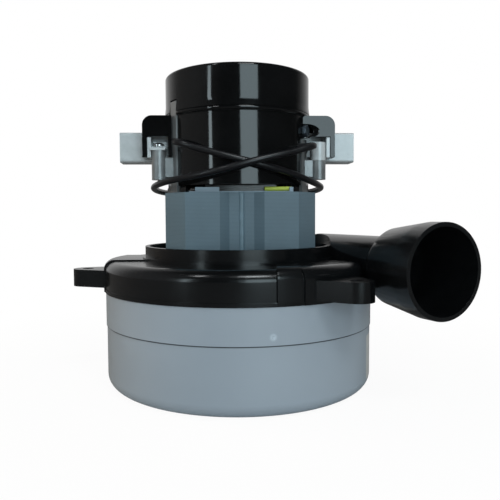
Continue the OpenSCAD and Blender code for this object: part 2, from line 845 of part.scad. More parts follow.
// Commutator: moulded hub, copper bars and the risers that take the wires
module commutator() {
    low = z_core + core_h + upper_end_turn_h + 3 * seat_clear;
    high = brush_z + brush_h / 2 + 2.4;
    riser_h = 2.6;
    color([0.75, 0.45, 0.22]) translate([0, 0, low]) difference() {
        union() {
            ring(shaft_r + seat_clear, commutator_r, high - low);
            ring(shaft_r + seat_clear, commutator_r + 1.6, riser_h);
        }
        for (i = [0 : commutator_bars - 1]) rotate([0, 0, 360 * i / commutator_bars])
            translate([commutator_r + 1, 0, (high - low) / 2]) cube([4, 0.5, high - low + 2], center = true);
    }
}

// Arm from the bearing hub to a leg whose outer face is at radius r
module leg_arm(r) {
    arm_h = 5.2;
    translate([bearing_r + 1, -leg_w / 2, z_leg_top - arm_h])
        cube([r - bearing_r - 1 - joint, leg_w, arm_h]);
}

// Leg that fills its slot of the cover all the way up
module open_leg() {
    foot = z_stack_top + seat_clear;
    rotate([0, 0, leg_angle]) {
        translate([leg_r - leg_t, -leg_w / 2, foot]) cube([leg_t, leg_w, z_leg_top - foot]);
        leg_arm(leg_r);
    }
}

// Leg that steps inward below its cover screw, so that the cover's wall lies on it
module stepped_leg() {
    foot = z_stack_top + seat_clear;
    rotate([0, 0, -leg_angle]) {
        translate([leg_r - leg_t, -leg_w / 2, foot]) cube([leg_t, leg_w, z_leg_step - foot]);
        translate([leg_inner_r - leg_t, -leg_w / 2, z_leg_step - 5])
            cube([leg_t, leg_w, z_leg_top - z_leg_step + 5]);
        leg_arm(leg_inner_r);
    }
}

// One post beside a brush with the web that joins it to its leg
module brush_post(y, top) {
    web_x = 34.5;
    web_w = 3.4;
    web_z = z_post_low + 1.5;
    translate([post_x, y, z_post_low]) cylinder(r = post_r, h = top - z_post_low);
    web_top = min(top, brush_z - hood_drop - lie_clear);
    translate([web_x, y - web_w / 2, web_z]) cube([post_x - web_x, web_w, web_top - web_z]);
}

// Commutator bracket: a cast spider that carries the upper bearing and the brush posts
module commutator_bracket() {
    hub_low = z_upper_seat - seat_floor;
    color([0.66, 0.64, 0.6]) motor_frame() difference() {
        union() {
            both_sides() {
                open_leg();
                stepped_leg();
            }
            four_quarters() intersection() {
                translate([bolt_x - 4, bolt_y - 3.6, z_stack_top + seat_clear]) cube([12, 12.8, foot_h]);
                cylinder(r = leg_r - 0.1, h = 2 * z_stack_top);
            }
            both_sides() {
                brush_post(post_y, z_screw_post);
                brush_post(-post_y, z_eye_post);
                translate([post_x, -post_y, z_eye_post - joint]) cylinder(r = eye_pin_r, h = 8);
            }
            translate([0, 0, hub_low])
                cylinder(r = bearing_r + 3, h = z_upper_bearing + bearing_w + 1 - hub_low);
        }
        translate([0, 0, hub_low - 1]) cylinder(r = bearing_r - 3, h = 10);
        translate([0, 0, z_upper_seat]) cylinder(r = bearing_r + seat_clear, h = 20);
        four_quarters() translate([bolt_x, bolt_y, z_stack_top - 1]) cylinder(r = bolt_r + 0.15, h = 8);
        for (turn = [0, 180]) rotate([0, 0, turn]) {
            translate([post_x, post_y, z_screw_post - 9])
                cylinder(r = clamp_screw_r + seat_clear, h = 12);
            rotate([0, 0, -leg_angle]) translate([leg_r - leg_t - 5, 0, z_cover_screw]) rotate([0, 90, 0])
                cylinder(r = cover_screw_r + seat_clear, h = 12);
        }
    }
}

// Dished spring washer that loads the upper bearing
module preload_washer() {
    rise = preload_h - 2 * seat_clear - 0.35;
    inner = bearing_r - 1.6;
    outer = bearing_r - 0.1;
    color([0.55, 0.57, 0.6]) translate([0, 0, z_upper_seat + seat_clear]) rotate_extrude()
        polygon([[inner, 0], [outer, rise], [outer, rise + 0.35], [inner, 0.35]]);
}

// Moulded housing of the +X brush: the box, its flange, the eye over the post and the screw tab
module brush_housing() {
    inner_x = 27;
    tab_x = 38.4;
    eye_web_x = 39.4;
    eye_h = 9.4;
    bore_h = brush_h + 2 * (sleeve_t + run_clear) + 2 * seat_clear;
    bore_w = brush_w + 2 * (sleeve_t + run_clear) + 2 * seat_clear;
    color([0.72, 0.73, 0.75]) motor_frame() difference() {
        union() {
            translate([0, 0, brush_z]) rotate([90, 0, 90]) translate([0, 0, inner_x])
                linear_extrude(housing_reach - inner_x) round_rect(housing_w, housing_h, 1.2);
            translate([flange_x, -flange_half_w, brush_z - 6.6])
                cube([flange_t, 2 * flange_half_w, 10.4]);
            translate([tab_x, 0, z_screw_post + seat_clear])
                cube([flange_x + joint - tab_x, post_y + post_r, tab_t]);
            translate([post_x, -post_y, z_eye_post + seat_clear]) cylinder(r = post_r, h = eye_h);
            translate([eye_web_x, -post_y, z_eye_post + 1.5])
                cube([flange_x + joint - eye_web_x, post_y, 6]);
        }
        translate([0, 0, brush_z]) rotate([90, 0, 90]) translate([0, 0, 10])
            linear_extrude(housing_reach - 12.4) square([bore_w, bore_h], center = true);
        translate([post_x, post_y, z_screw_post - 1]) cylinder(r = clamp_hole_r, h = 5);
        translate([post_x, -post_y, z_eye_post - 1]) cylinder(r = eye_pin_r + run_clear, h = eye_h + joint);
        translate([housing_reach - 3, -2, brush_z - 3]) cube([4, 4, 1]);
    }
}

// Brass tube that guides the +X brush
module brush_sleeve() {
    front_x = commutator_r + 2.2;
    outside = run_clear + sleeve_t;
    color([0.8, 0.66, 0.3]) motor_frame() translate([front_x, 0, brush_z]) rotate([90, 0, 90])
        linear_extrude(sleeve_back - front_x) difference() {
            square([brush_w + 2 * outside, brush_h + 2 * outside], center = true);
            square([brush_w + 2 * run_clear, brush_h + 2 * run_clear], center = true);
        }
}

// Carbon block with its face ground to the commutator
module carbon_brush() {
    color([0.16, 0.16, 0.17]) motor_frame() difference() {
        translate([commutator_r - 2, -brush_w / 2, brush_z - brush_h / 2])
            cube([brush_l + 2, brush_w, brush_h]);
        translate([0, 0, brush_z - brush_h]) cylinder(r = commutator_r + lie_clear, h = 2 * brush_h);
    }
}

// Points of the brush spring: a helix along X between the brush and the terminal
spring_turns = 9;
spring_wire_r = 0.28;
spring_r = 2.3;
spring_start = commutator_r + brush_l + spring_wire_r + 0.05;
spring_end = sleeve_back - 0.9 - spring_wire_r - 0.05;
spring_points = [
    for (i = [0 : 8 * spring_turns])
        [spring_start + (spring_end - spring_start) * i / (8 * spring_turns),
            spring_r * cos(45 * i), brush_z + spring_r * sin(45 * i)]
];

module brush_spring() {
    color([0.7, 0.71, 0.73]) motor_frame() swept_tube(spring_points, spring_wire_r, 6);
}

// Brass end plate of the sleeve with the tab that takes the lead
module brush_terminal() {
    inside_w = brush_w + 2 * run_clear - 2 * seat_clear;
    inside_h = brush_h + 2 * run_clear - 2 * seat_clear;
    color([0.82, 0.68, 0.32]) motor_frame()
        translate([sleeve_back - 0.9, -inside_w / 2, brush_z - inside_h / 2]) cube([0.8, inside_w, inside_h]);
}

// Steel clip under the clamp screw that presses the +X housing on its post
module brush_clamp() {
    z_clip = z_screw_post + tab_t + 2 * seat_clear;
    clip_x = 38.6;
    clip_w = 6.8;
    clip_y = housing_w / 2 + lie_clear;
    color([0.5, 0.53, 0.56]) motor_frame() difference() {
        union() {
            translate([clip_x, clip_y, z_clip]) cube([clip_w, post_y + post_r - clip_y, clip_t]);
            translate([clip_x, clip_y, z_clip]) cube([clip_w, clip_t, 4.4]);
        }
        translate([post_x, post_y, z_clip - 1]) cylinder(r = clamp_hole_r, h = 3);
    }
}

module brush_housing_right() { brush_housing(); }
module brush_housing_left() { rotate([0, 0, 180]) brush_housing(); }
module brush_sleeve_right() { brush_sleeve(); }
module brush_sleeve_left() { rotate([0, 0, 180]) brush_sleeve(); }
module carbon_brush_right() { carbon_brush(); }
module carbon_brush_left() { rotate([0, 0, 180]) carbon_brush(); }
module brush_spring_right() { brush_spring(); }
module brush_spring_left() { rotate([0, 0, 180]) brush_spring(); }
module brush_terminal_right() { brush_terminal(); }
module brush_terminal_left() { rotate([0, 0, 180]) brush_terminal(); }
module brush_clamp_right() { brush_clamp(); }
module brush_clamp_left() { rotate([0, 0, 180]) brush_clamp(); }

// Pan-head screws that hold the two brush clamps
module clamp_screws() {
    head_z = z_screw_post + tab_t + clip_t + 3 * seat_clear;
    color([0.8, 0.81, 0.82]) motor_frame() both_sides() translate([post_x, post_y, 0]) {
        translate([0, 0, z_screw_post - 8])
            cylinder(r = clamp_screw_r, h = head_z - z_screw_post + 8 + joint);
        translate([0, 0, head_z]) difference() {
            intersection() {
                cylinder(r = 3, h = 2);
                translate([0, 0, -2]) sphere(r = 4.2);
            }
            translate([0, 0, 2]) cube([4, 0.7, 1.6], center = true);
        }
    }
}

// Cooling fan on top of the shaft: a disc with upright swept blades
module vent_fan() {
    wheel_r = cover_r - cover_wall - 3;
    color([0.1, 0.1, 0.11]) {
        translate([0, 0, z_vent_disc]) ring(shaft_r + seat_clear, wheel_r, 1.4);
        translate([0, 0, z_vent_hub]) ring(shaft_r + seat_clear, 7, vent_hub_h);
        for (i = [0 : 8]) rotate([0, 0, 40 * i]) translate([0, 0, z_vent_disc + joint])
            linear_extrude(vent_blade_h - joint) swept_blade(12, wheel_r - 0.5, 1.4, 3);
    }
}

module vent_fan_nut() {
    color([0.72, 0.7, 0.6]) translate([0, 0, z_vent_hub + vent_hub_h + seat_clear])
        nut(11, 3.4, shaft_r + seat_clear);
}

// Hood over the +X brush: open below, its end wall notched for the brush housing
module hood_outer() {
    top = brush_z + hood_rise;
    low = brush_z - hood_drop;
    root_x = 30;
    rotate([90, 0, 0]) translate([0, 0, -hood_half_w]) linear_extrude(2 * hood_half_w) {
        translate([root_x, low]) square([hood_reach - root_x - hood_corner, top - low]);
        translate([root_x, low]) square([hood_reach - root_x, top - low - hood_corner]);
        translate([hood_reach - hood_corner, top - hood_corner]) circle(r = hood_corner);
    }
}

module hood_inner() {
    wall = cover_wall;
    top = brush_z + hood_rise - wall;
    corner = hood_corner - wall;
    half = hood_half_w - wall;
    reach = hood_reach - hood_end_wall;
    rotate([90, 0, 0]) translate([0, 0, -half]) linear_extrude(2 * half) {
        translate([0, z_cover - 1]) square([reach - corner, top - z_cover + 1]);
        translate([0, z_cover - 1]) square([reach, top - z_cover + 1 - corner]);
        translate([reach - corner, top - corner]) circle(r = corner);
    }
}

// Hole through the cover on the line of a lead's first two points
module lead_hole(route) {
    d = route[1] - route[0];
    translate(route[0] - 2 * d) rotate([0, 0, atan2(d[1], d[0])]) rotate([0, 90, 0])
        cylinder(r = lead_d / 2 + seat_clear, h = 5 * norm(d));
}

// Slot of the cover for a bracket leg on +X, open below
module leg_slot(top) {
    side = leg_w / 2 + 0.4;
    translate([leg_r - 6, -side, z_cover - 2]) cube([7, 2 * side, top - z_cover + 2]);
}

// Cooling-fan cover: a stepped tube with hoods over the brushes and slots for the bracket's legs
module vent_fan_cover() {
    lower_r = cover_r - cover_step;
    edge = 1.6;
    ridge = 0.5;
    ridge_r = 1.4;
    flare_h = 5.5;
    side_cut_drop = hood_drop + 0.7;
    side_cut_h = side_cut_drop + 4.2;
    side_cut_x = post_x - 5;
    foot_angle = 40.5;
    color([0.05, 0.05, 0.06]) motor_frame() difference() {
        union() {
            rotate_extrude() {
                translate([0, z_cover]) square([lower_r, z_step - z_cover]);
                translate([0, z_step]) square([cover_r, cover_upper_h - edge]);
                translate([0, z_step]) square([cover_r - edge, cover_upper_h]);
                translate([cover_r - edge, z_cover_top - edge]) circle(r = edge);
                translate([0, z_step - ridge_r]) square([cover_r + ridge - ridge_r / 2, 2 * ridge_r]);
                translate([cover_r + ridge - ridge_r, z_step]) circle(r = ridge_r);
                polygon([
                    [cover_r - 1, z_step + flare_h], [cover_r, z_step + flare_h],
                    [cover_r + ridge, z_step + 1], [cover_r - 1, z_step + 1]
                ]);
            }
            both_sides() hood_outer();
            for (a = [foot_angle, 180 - foot_angle, 180 + foot_angle, 360 - foot_angle])
                rotate([0, 0, a]) translate([lower_r - cover_wall + 0.1, -2.2, z_stack_top + seat_clear])
                    cube([cover_wall - 0.3, 4.4, cover_gap + joint]);
        }
        translate([0, 0, z_cover - 1]) cylinder(r = lower_r - cover_wall, h = z_step - z_cover + 1);
        translate([0, 0, z_step - joint])
            cylinder(r = cover_r - cover_wall, h = cover_upper_h - cover_wall + joint);
        translate([0, 0, z_cover_top - cover_wall - 1]) cylinder(r = cover_opening_r, h = cover_wall + 2);
        both_sides() hood_inner();
        both_sides() translate([hood_reach - 4, 0, brush_z - 25 + 8.3])
            cube([12, housing_w + 1, 50], center = true);
        both_sides() for (s = [-1, 1])
            translate([side_cut_x, s * hood_half_w - 2.5, brush_z - side_cut_drop])
                cube([flange_x + flange_t + lie_clear - side_cut_x, 5, side_cut_h]);
        both_sides() {
            rotate([0, 0, leg_angle]) leg_slot(z_leg_top + 0.8);
            rotate([0, 0, -leg_angle]) {
                leg_slot(z_leg_step + 0.4);
                translate([leg_inner_r, 0, z_cover_screw]) rotate([0, 90, 0])
                    cylinder(r = cover_screw_r + seat_clear, h = 6);
                translate([lower_r, 0, z_cover_screw]) rotate([0, 90, 0]) cylinder(r = 3.8, h = 12);
            }
        }
        rotate([0, 0, -motor_turn]) {
            lead_hole(lead_one_route);
            lead_hole(lead_two_route);
        }
    }
}

// Hex-head screws that hold the cover to two of the legs
module cover_screws() {
    color([0.3, 0.36, 0.4]) motor_frame() both_sides()
        rotate([0, 0, -leg_angle]) translate([0, 0, z_cover_screw]) rotate([0, 90, 0]) {
            head = cover_r - cover_step + seat_clear;
            tip = leg_inner_r - leg_t - 1;
            translate([0, 0, tip]) cylinder(r = cover_screw_r, h = head + joint - tip);
            translate([0, 0, head]) cylinder(r = 3.2, h = 2.4, $fn = 6);
        }
}

module lead_one() {
    color([0.12, 0.12, 0.13]) swept_tube(lead_one_route, lead_d / 2, 8);
}

module lead_two() {
    color([0.12, 0.12, 0.13]) swept_tube(lead_two_route, lead_d / 2, 8);
}

// Push-on terminal at the end of a lead that arrives along a direction d
module lead_terminal(p, d) {
    turn = atan2(d[1], d[0]);
    blade_h = 6.3;
    color([0.8, 0.68, 0.36]) translate(p) rotate([0, 0, turn]) {
        rotate([0, 90, 0]) cylinder(r = lead_d / 2, h = 6);
        translate([5.8, -0.4, -blade_h / 2 + 1.5]) cube([9, 0.8, blade_h]);
        for (s = [-1, 1]) translate([7, -1.2, s * (blade_h / 2 - 0.3) + 1.2]) cube([7.8, 2.4, 0.6]);
    }
}

module lead_terminal_one() {
    n = len(lead_one_route) - 1;
    lead_terminal(lead_one_route[n], lead_one_route[n] - lead_one_route[n - 1]);
}

module lead_terminal_two() {
    n = len(lead_two_route) - 1;
    lead_terminal(lead_two_route[n], lead_two_route[n] - lead_two_route[n - 1]);
}

lower_shell();
upper_shell();
first_stage_fan();
stationary_fan();
second_stage_fan();
fan_nut();
fan_washers();
fan_spacers();
fan_end_bracket();
discharge_horn();
air_seal();
lower_bearing_outer();
lower_bearing_inner();
lower_bearing_balls();
lower_bearing_cage();
bearing_retainer();
retainer_screws();
field_laminations();
field_coils();
slot_insulators();
coil_tape();
through_bolts();
shaft();
armature_core();
armature_windings();
commutator();
commutator_bracket();
upper_bearing_outer();
upper_bearing_inner();
upper_bearing_balls();
upper_bearing_cage();
preload_washer();
brush_housing_left();
brush_housing_right();
brush_sleeve_left();
brush_sleeve_right();
carbon_brush_left();
carbon_brush_right();
brush_spring_left();
brush_spring_right();
brush_terminal_left();
brush_terminal_right();
brush_clamp_left();
brush_clamp_right();
clamp_screws();
vent_fan();
vent_fan_nut();
vent_fan_cover();
cover_screws();
lead_one();
lead_two();
lead_terminal_one();
lead_terminal_two();
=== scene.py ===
"""Looks of the bypass vacuum motor unit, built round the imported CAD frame.

Every length is in metres, in the CAD frame: the shaft lies on Z, z = 0 is the underside
of the fan case and the photographed front faces -Y.
"""

import logging
import math
from dataclasses import dataclass
from enum import Enum
from typing import Callable, Optional, Sequence

import bpy
from mathutils import Matrix, Vector


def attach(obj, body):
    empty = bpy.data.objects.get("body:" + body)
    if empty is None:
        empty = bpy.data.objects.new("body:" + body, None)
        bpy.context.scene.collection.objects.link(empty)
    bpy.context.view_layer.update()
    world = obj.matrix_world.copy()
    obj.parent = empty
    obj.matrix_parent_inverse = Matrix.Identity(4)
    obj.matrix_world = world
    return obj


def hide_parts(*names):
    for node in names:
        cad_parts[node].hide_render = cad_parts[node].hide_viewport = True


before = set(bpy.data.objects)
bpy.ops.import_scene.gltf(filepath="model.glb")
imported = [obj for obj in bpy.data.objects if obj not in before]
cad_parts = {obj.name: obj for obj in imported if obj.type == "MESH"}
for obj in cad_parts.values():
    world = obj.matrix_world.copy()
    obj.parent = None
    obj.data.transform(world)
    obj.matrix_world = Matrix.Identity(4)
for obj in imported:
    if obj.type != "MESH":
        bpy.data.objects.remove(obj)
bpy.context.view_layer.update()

log = logging.getLogger("vacuum_motor")

Colour = tuple[float, float, float]
Point = tuple[float, float, float]

STATOR = "stator"
MOTOR_TURN = math.radians(3.0)
SEAM_Z = 0.0333
SHEET_FOOT = 0.066
SHEET_T = 0.00065
SHEETS = 56
RING_PITCH = 0.0005
WIRE_PITCH = 0.0009
MERGE_WITHIN = 0.000002
FLAT_WITHIN = math.radians(0.4)
SMOOTH_WITHIN = math.radians(38.0)


class Socket:
    """An output socket of a shader graph, with arithmetic that adds Math nodes."""

    def __init__(self, graph: "Graph", out: bpy.types.NodeSocket) -> None:
        """Wrap an output.

        Args:
            graph: The graph that the output belongs to.
            out: The output socket itself.
        """
        self.graph = graph
        self.out = out

    def _with(self, operation: str, *others: "float | Socket") -> "Socket":
        """Apply one Math operation to this socket and others.

        Args:
            operation: Name of the Math node's operation.
            others: Further operands, as numbers or sockets.

        Returns:
            The result's socket.
        """
        return self.graph.math(operation, self, *others)

    def __add__(self, other: "float | Socket") -> "Socket":
        """Return self + other."""
        return self._with("ADD", other)

    __radd__ = __add__

    def __mul__(self, other: "float | Socket") -> "Socket":
        """Return self * other."""
        return self._with("MULTIPLY", other)

    __rmul__ = __mul__

    def __sub__(self, other: "float | Socket") -> "Socket":
        """Return self - other."""
        return self._with("SUBTRACT", other)

    def __rsub__(self, other: "float | Socket") -> "Socket":
        """Return other - self."""
        return self.graph.math("SUBTRACT", other, self)

    def __pow__(self, other: "float | Socket") -> "Socket":
        """Return self to the power of other."""
        return self._with("POWER", other)

    def __abs__(self) -> "Socket":
        """Return the absolute value."""
        return self._with("ABSOLUTE")

    def sine(self) -> "Socket":
        """Return the sine."""
        return self._with("SINE")

    def fraction(self) -> "Socket":
        """Return what is left over a whole number."""
        return self._with("FRACT")

    def least(self, other: "float | Socket") -> "Socket":
        """Return the smaller of the two values."""
        return self._with("MINIMUM", other)

    def most(self, other: "float | Socket") -> "Socket":
        """Return the larger of the two values."""
        return self._with("MAXIMUM", other)

    def ramp(self, low: float, high: float) -> "Socket":
        """Rise smoothly from 0 at low to 1 at high.

        Args:
            low: Value at which the result leaves 0.
            high: Value at which the result reaches 1.

        Returns:
            The eased socket.
        """
        return self.graph.out(
            "ShaderNodeMapRange",
            {"interpolation_type": "SMOOTHSTEP"},
            {"Value": self, "From Min": low, "From Max": high},
        )


class Graph:
    """The node tree of a material or of the world."""

    def __init__(self, tree: bpy.types.NodeTree) -> None:
        """Empty a node tree and build on it.

        Args:
            tree: The node tree.
        """
        self.tree = tree
        tree.nodes.clear()
        self._axes: Optional[tuple[Socket, Socket, Socket]] = None

    def node(self, kind: str, settings: dict, values: dict) -> bpy.types.Node:
        """Add a node.

        Args:
            kind: The node's type name.
            settings: Attributes of the node, set before its sockets.
            values: Numbers, colours or sockets for its inputs, by name or index.

        Returns:
            The new node.
        """
        made = self.tree.nodes.new(kind)
        for key, value in settings.items():
            setattr(made, key, value)
        for key, value in values.items():
            target = made.inputs[key]
            if isinstance(value, Socket):
                self.tree.links.new(value.out, target)
            else:
                target.default_value = value
        return made

    def out(self, kind: str, settings: dict, values: dict, output: "int | str" = 0) -> Socket:
        """Add a node and return one of its outputs.

        Args:
            kind: The node's type name.
            settings: Attributes of the node.
            values: Values of its inputs.
            output: Name or index of the output.

        Returns:
            The chosen output.
        """
        return Socket(self, self.node(kind, settings, values).outputs[output])

    def math(self, operation: str, *operands: "float | Socket") -> Socket:
        """Add a Math node.

        Args:
            operation: Name of the operation.
            operands: Its operands in order.

        Returns:
            The result.
        """
        return self.out("ShaderNodeMath", {"operation": operation}, dict(enumerate(operands)))

    def position(self) -> Socket:
        """Return the Object coordinates, in metres."""
        return self.out("ShaderNodeTexCoord", {}, {}, "Object")

    def axes(self) -> tuple[Socket, Socket, Socket]:
        """Split the Object coordinates.

        Returns:
            Their x, y and z.
        """
        if self._axes is None:
            split = self.node("ShaderNodeSeparateXYZ", {}, {0: self.position()})
            self._axes = tuple(Socket(self, out) for out in split.outputs)
        return self._axes

    def stretched(self, scale: Point) -> Socket:
        """Return the Object coordinates multiplied axis by axis.

        Args:
            scale: Factor for each axis.

        Returns:
            The scaled coordinates.
        """
        return self.out("ShaderNodeMapping", {}, {"Vector": self.position(), "Scale": scale})

    def noise(self, size: float, detail: float = 2.0, where: Optional[Socket] = None) -> Socket:
        """Add noise.

        Args:
            size: Size of its features in metres, or 1 where the coordinates are scaled.
            detail: Octaves of finer noise.
            where: Coordinates, or None for the Object coordinates.

        Returns:
            The noise, from 0 to 1.
        """
        at = self.position() if where is None else where
        return self.out("ShaderNodeTexNoise", {}, {"Vector": at, "Scale": 1.0 / size, "Detail": detail})

    def mix(self, share: "float | Socket", a: "Colour | Socket", b: "Colour | Socket") -> Socket:
        """Mix two colours.

        Args:
            share: Share of b, from 0 to 1.
            a: First colour.
            b: Second colour.

        Returns:
            The mixed colour.
        """
        both = [v if isinstance(v, Socket) else (*v, 1.0) for v in (a, b)]
        return self.out("ShaderNodeMix", {"data_type": "RGBA"}, {0: share, 6: both[0], 7: both[1]}, 2)

    def bump(self, height: Socket, depth: float) -> Socket:
        """Turn a height into a normal.

        Args:
            height: The height, from 0 to 1.
            depth: The height's range in metres.

        Returns:
            The bumped normal.
        """
        return self.out("ShaderNodeBump", {}, {"Height": height, "Distance": depth, "Strength": 1.0}, "Normal")


class Relief(Enum):
    """What the surface of a finish is like up close."""

    PLAIN = "plain"
    SHEETS = "stacked sheets"
    TURNED = "turned on a lathe"
    ROLLED = "rolled or drawn sheet"
    WOUND = "wound wire"
    CAST = "cast"
    PRESSED = "pressed powder"


def lighter(colour: Colour, share: float) -> Colour:
    """Return a colour made lighter by a share of itself, or darker if share is negative."""
    return tuple(min(1.0, c * (1.0 + share)) for c in colour)


LABEL_PAPER: tuple[Colour, Colour] = ((0.36, 0.37, 0.37), (0.46, 0.46, 0.45))
LABEL_EDGE = 0.0003


@dataclass(frozen=True)
class Finish:
    """A finish: its colours, gloss, relief and wear.

    Attributes:
        slot: Material slot of the record.
        colour: Linear base colour.
        rough: Mean roughness.
        metal: 1 for bare metal, 0 for paint and plastic.
        specular: Strength of the reflection of a dielectric.
        coat: Weight of a clear coat.
        coat_rough: Roughness of the coat.
        relief: Kind of surface.
        depth: Depth of the relief in metres.
        grain: Size of the finest grain in metres.
        mottle: Share by which the colour wanders.
        drift: Size of the patches in which it wanders, in metres.
        rub_and_glint_share: Share of the surface that is scuffed or dusty; on the shaded coil, the share of
            painted glints.
        rub_and_glint_colour: Colour of the scuffs and dust; on the shaded coil, colour of the painted glints.
        rub_and_glint_rough: Roughness of the scuffs and of the painted glints.
        seam_shade_bands: Height and half width of each seam along which painted shade lies as a dark band.
        marks: Place and radius of each spot that is rubbed pale.
        labels: Turn from the front, half width, height and half height of each blank label.
        look: Name of the material where it differs from the slot.
    """

    slot: str
    colour: Colour
    rough: float
    metal: float = 0.0
    specular: float = 0.5
    coat: float = 0.0
    coat_rough: float = 0.1
    relief: Relief = Relief.PLAIN
    depth: float = 0.00002
    grain: float = 0.0012
    mottle: float = 0.06
    drift: float = 0.02
    rub_and_glint_share: float = 0.06
    rub_and_glint_colour: Colour = (0.3, 0.3, 0.29)
    rub_and_glint_rough: float = 0.6
    seam_shade_bands: tuple[tuple[float, float], ...] = ()
    marks: tuple[tuple[float, float, float, float], ...] = ()
    labels: tuple[tuple[float, float, float, float], ...] = ()
    look: str = ""

    def material(self) -> bpy.types.Material:
        """Give the material of this finish, built on first use.

        Returns:
            The material.
        """
        name = self.look or self.slot
        known = bpy.data.materials.get(name)
        if known is not None and known.get("finished"):
            return known
        made = bpy.data.materials.new(name)
        made.use_nodes = True
        made["finished"] = True
        self._build(Graph(made.node_tree))
        return made

    def _height(self, g: Graph) -> Socket:
        """Return the relief's height from 0 to 1.

        Args:
            g: The graph that it is built in.

        Returns:
            The height.
        """
        x, y, z = g.axes()
        fine = g.noise(self.grain, 3.0)
        if self.relief is Relief.SHEETS:
            sheet = ((z - SHEET_FOOT) * (1.0 / SHEET_T) + 0.5).fraction()
            return abs(sheet - 0.5).ramp(0.03, 0.16) * 0.8 + fine * 0.2
        if self.relief is Relief.TURNED:
            radius = (x * x + y * y) ** 0.5
            rings = ((radius + z * 0.7) * (2 * math.pi / RING_PITCH)).sine() * 0.5 + 0.5
            return rings * 0.6 + fine * 0.4
        if self.relief is Relief.ROLLED:
            return g.noise(1.0, 2.0, g.stretched((260.0, 260.0, 2600.0))) * 0.6 + fine * 0.4
        if self.relief is Relief.WOUND:
            wander = g.noise(0.004, 1.0) * 2.5
            turns = ((y + z * 0.5) * (2 * math.pi / WIRE_PITCH) + wander).sine()
            return abs(turns) * 0.85 + fine * 0.15
        if self.relief is Relief.CAST:
            return g.noise(self.grain, 5.0) * 0.6 + g.noise(self.grain * 4, 2.0) * 0.4
        if self.relief is Relief.PRESSED:
            return fine ** 2.0
        return fine * 0.5 + g.noise(self.grain * 6, 1.0) * 0.5

    def _spotted(self, g: Graph, colour: Socket) -> Socket:
        """Paint shade along the seams, rub the marked spots pale and lay on the labels.

        Args:
            g: The graph that it is built in.
            colour: Colour before that.

        Returns:
            The colour with all of them.
        """
        x, y, z = g.axes()
        # Painted shade: a dark band along each seam, where the upper shell's edge shades the lower shell.
        for height, half in self.seam_shade_bands:
            seam_shade = 1.0 - abs(z - height).ramp(half * 0.6, half)
            colour = g.mix(seam_shade * 0.88, colour, lighter(self.colour, -0.9))
        for a, b, c, radius in self.marks:
            away = ((x - a) * (x - a) + (y - b) * (y - b) + (z - c) * (z - c)) ** 0.5
            rubbed = 1.0 - away.ramp(radius * 0.35, radius)
            colour = g.mix(rubbed * 0.55, colour, lighter(self.colour, 0.8))
        for turn, half, height, tall in self.labels:
            out = (x * math.sin(turn) - y * math.cos(turn)).ramp(0.0, 0.001)
            across = 1.0 - abs(x * math.cos(turn) + y * math.sin(turn)).ramp(half - LABEL_EDGE, half)
            upright = 1.0 - abs(z - height).ramp(tall - LABEL_EDGE, tall)
            colour = g.mix(out * across * upright, colour, g.mix(g.noise(0.004, 2.0), *LABEL_PAPER))
        return colour

    def _build(self, g: Graph) -> None:
        """Build the nodes of the finish.

        Args:
            g: The graph to build in.
        """
        height = self._height(g)
        patches = g.noise(self.drift, 3.0).ramp(0.3, 0.7)
        base = g.mix(patches, lighter(self.colour, -self.mottle), lighter(self.colour, self.mottle))
        # Painted shade: the colour darkens by up to 45 % in the grooves between stacked sheets and between wire
        # turns.
        if self.relief in (Relief.SHEETS, Relief.WOUND):
            base = g.mix(height, lighter(self.colour, -0.45), base)
        # Scuffs and dust, and on the shaded coil the painted glints, are laid on through this one mask.
        streaks = g.noise(1.0, 4.0, g.stretched((90.0, 90.0, 340.0)))
        specks = g.noise(0.0016, 2.0)
        rub_and_glint_mask = (streaks * 0.6 + specks * 0.4).ramp(0.66 - 0.2 * self.rub_and_glint_share, 0.78)
        rub_and_glint_mask = rub_and_glint_mask * min(1.0, self.rub_and_glint_share * 6)
        colour = self._spotted(g, g.mix(rub_and_glint_mask, base, self.rub_and_glint_colour))
        rough = (self.rough + (patches - 0.5) * 0.06 + (height - 0.5) * 0.05) * (1.0 - rub_and_glint_mask)
        rough = (rough + rub_and_glint_mask * self.rub_and_glint_rough).most(0.03)
        values = {
            "Base Color": colour,
            "Metallic": self.metal,
            "Roughness": rough,
            "Specular IOR Level": self.specular,
            "Coat Weight": self.coat,
            "Coat Roughness": self.coat_rough,
            "Normal": g.bump(height, self.depth),
        }
        shader = g.out("ShaderNodeBsdfPrincipled", {}, values)
        g.node("ShaderNodeOutputMaterial", {}, {"Surface": shader})


# The grey shell carries a painted shade band along the seam between the two shells.
GREY_SHELL = Finish("grey_shell", (0.235, 0.272, 0.31), 0.42, specular=0.4, relief=Relief.ROLLED,
                    depth=0.000008, grain=0.0009, mottle=0.03, drift=0.05, rub_and_glint_share=0.02,
                    rub_and_glint_colour=(0.4, 0.43, 0.45), seam_shade_bands=((SEAM_Z - 0.00005, 0.0004),),
                    marks=((0.0151, -0.071, 0.0373, 0.0022), (-0.069, 0.0224, 0.0373, 0.0022),
                           (0.054, 0.0486, 0.0373, 0.0022)),
                    labels=((math.radians(82.5), 0.0221, 0.0177, 0.0115),))
BLACK_MOULDING = Finish("black_moulding", (0.003, 0.0034, 0.0038), 0.22, specular=0.45, depth=0.000012,
                        grain=0.004, mottle=0.25, drift=0.03, rub_and_glint_share=0.05, rub_and_glint_colour=(0.022, 0.025, 0.027),
                        rub_and_glint_rough=0.4)
BLACK_COVER = Finish("gloss_black_cover", (0.0032, 0.0034, 0.0036), 0.08, specular=0.4, depth=0.00001,
                     grain=0.006, mottle=0.2, drift=0.03, rub_and_glint_share=0.02, rub_and_glint_colour=(0.02, 0.022, 0.023),
                     rub_and_glint_rough=0.35)
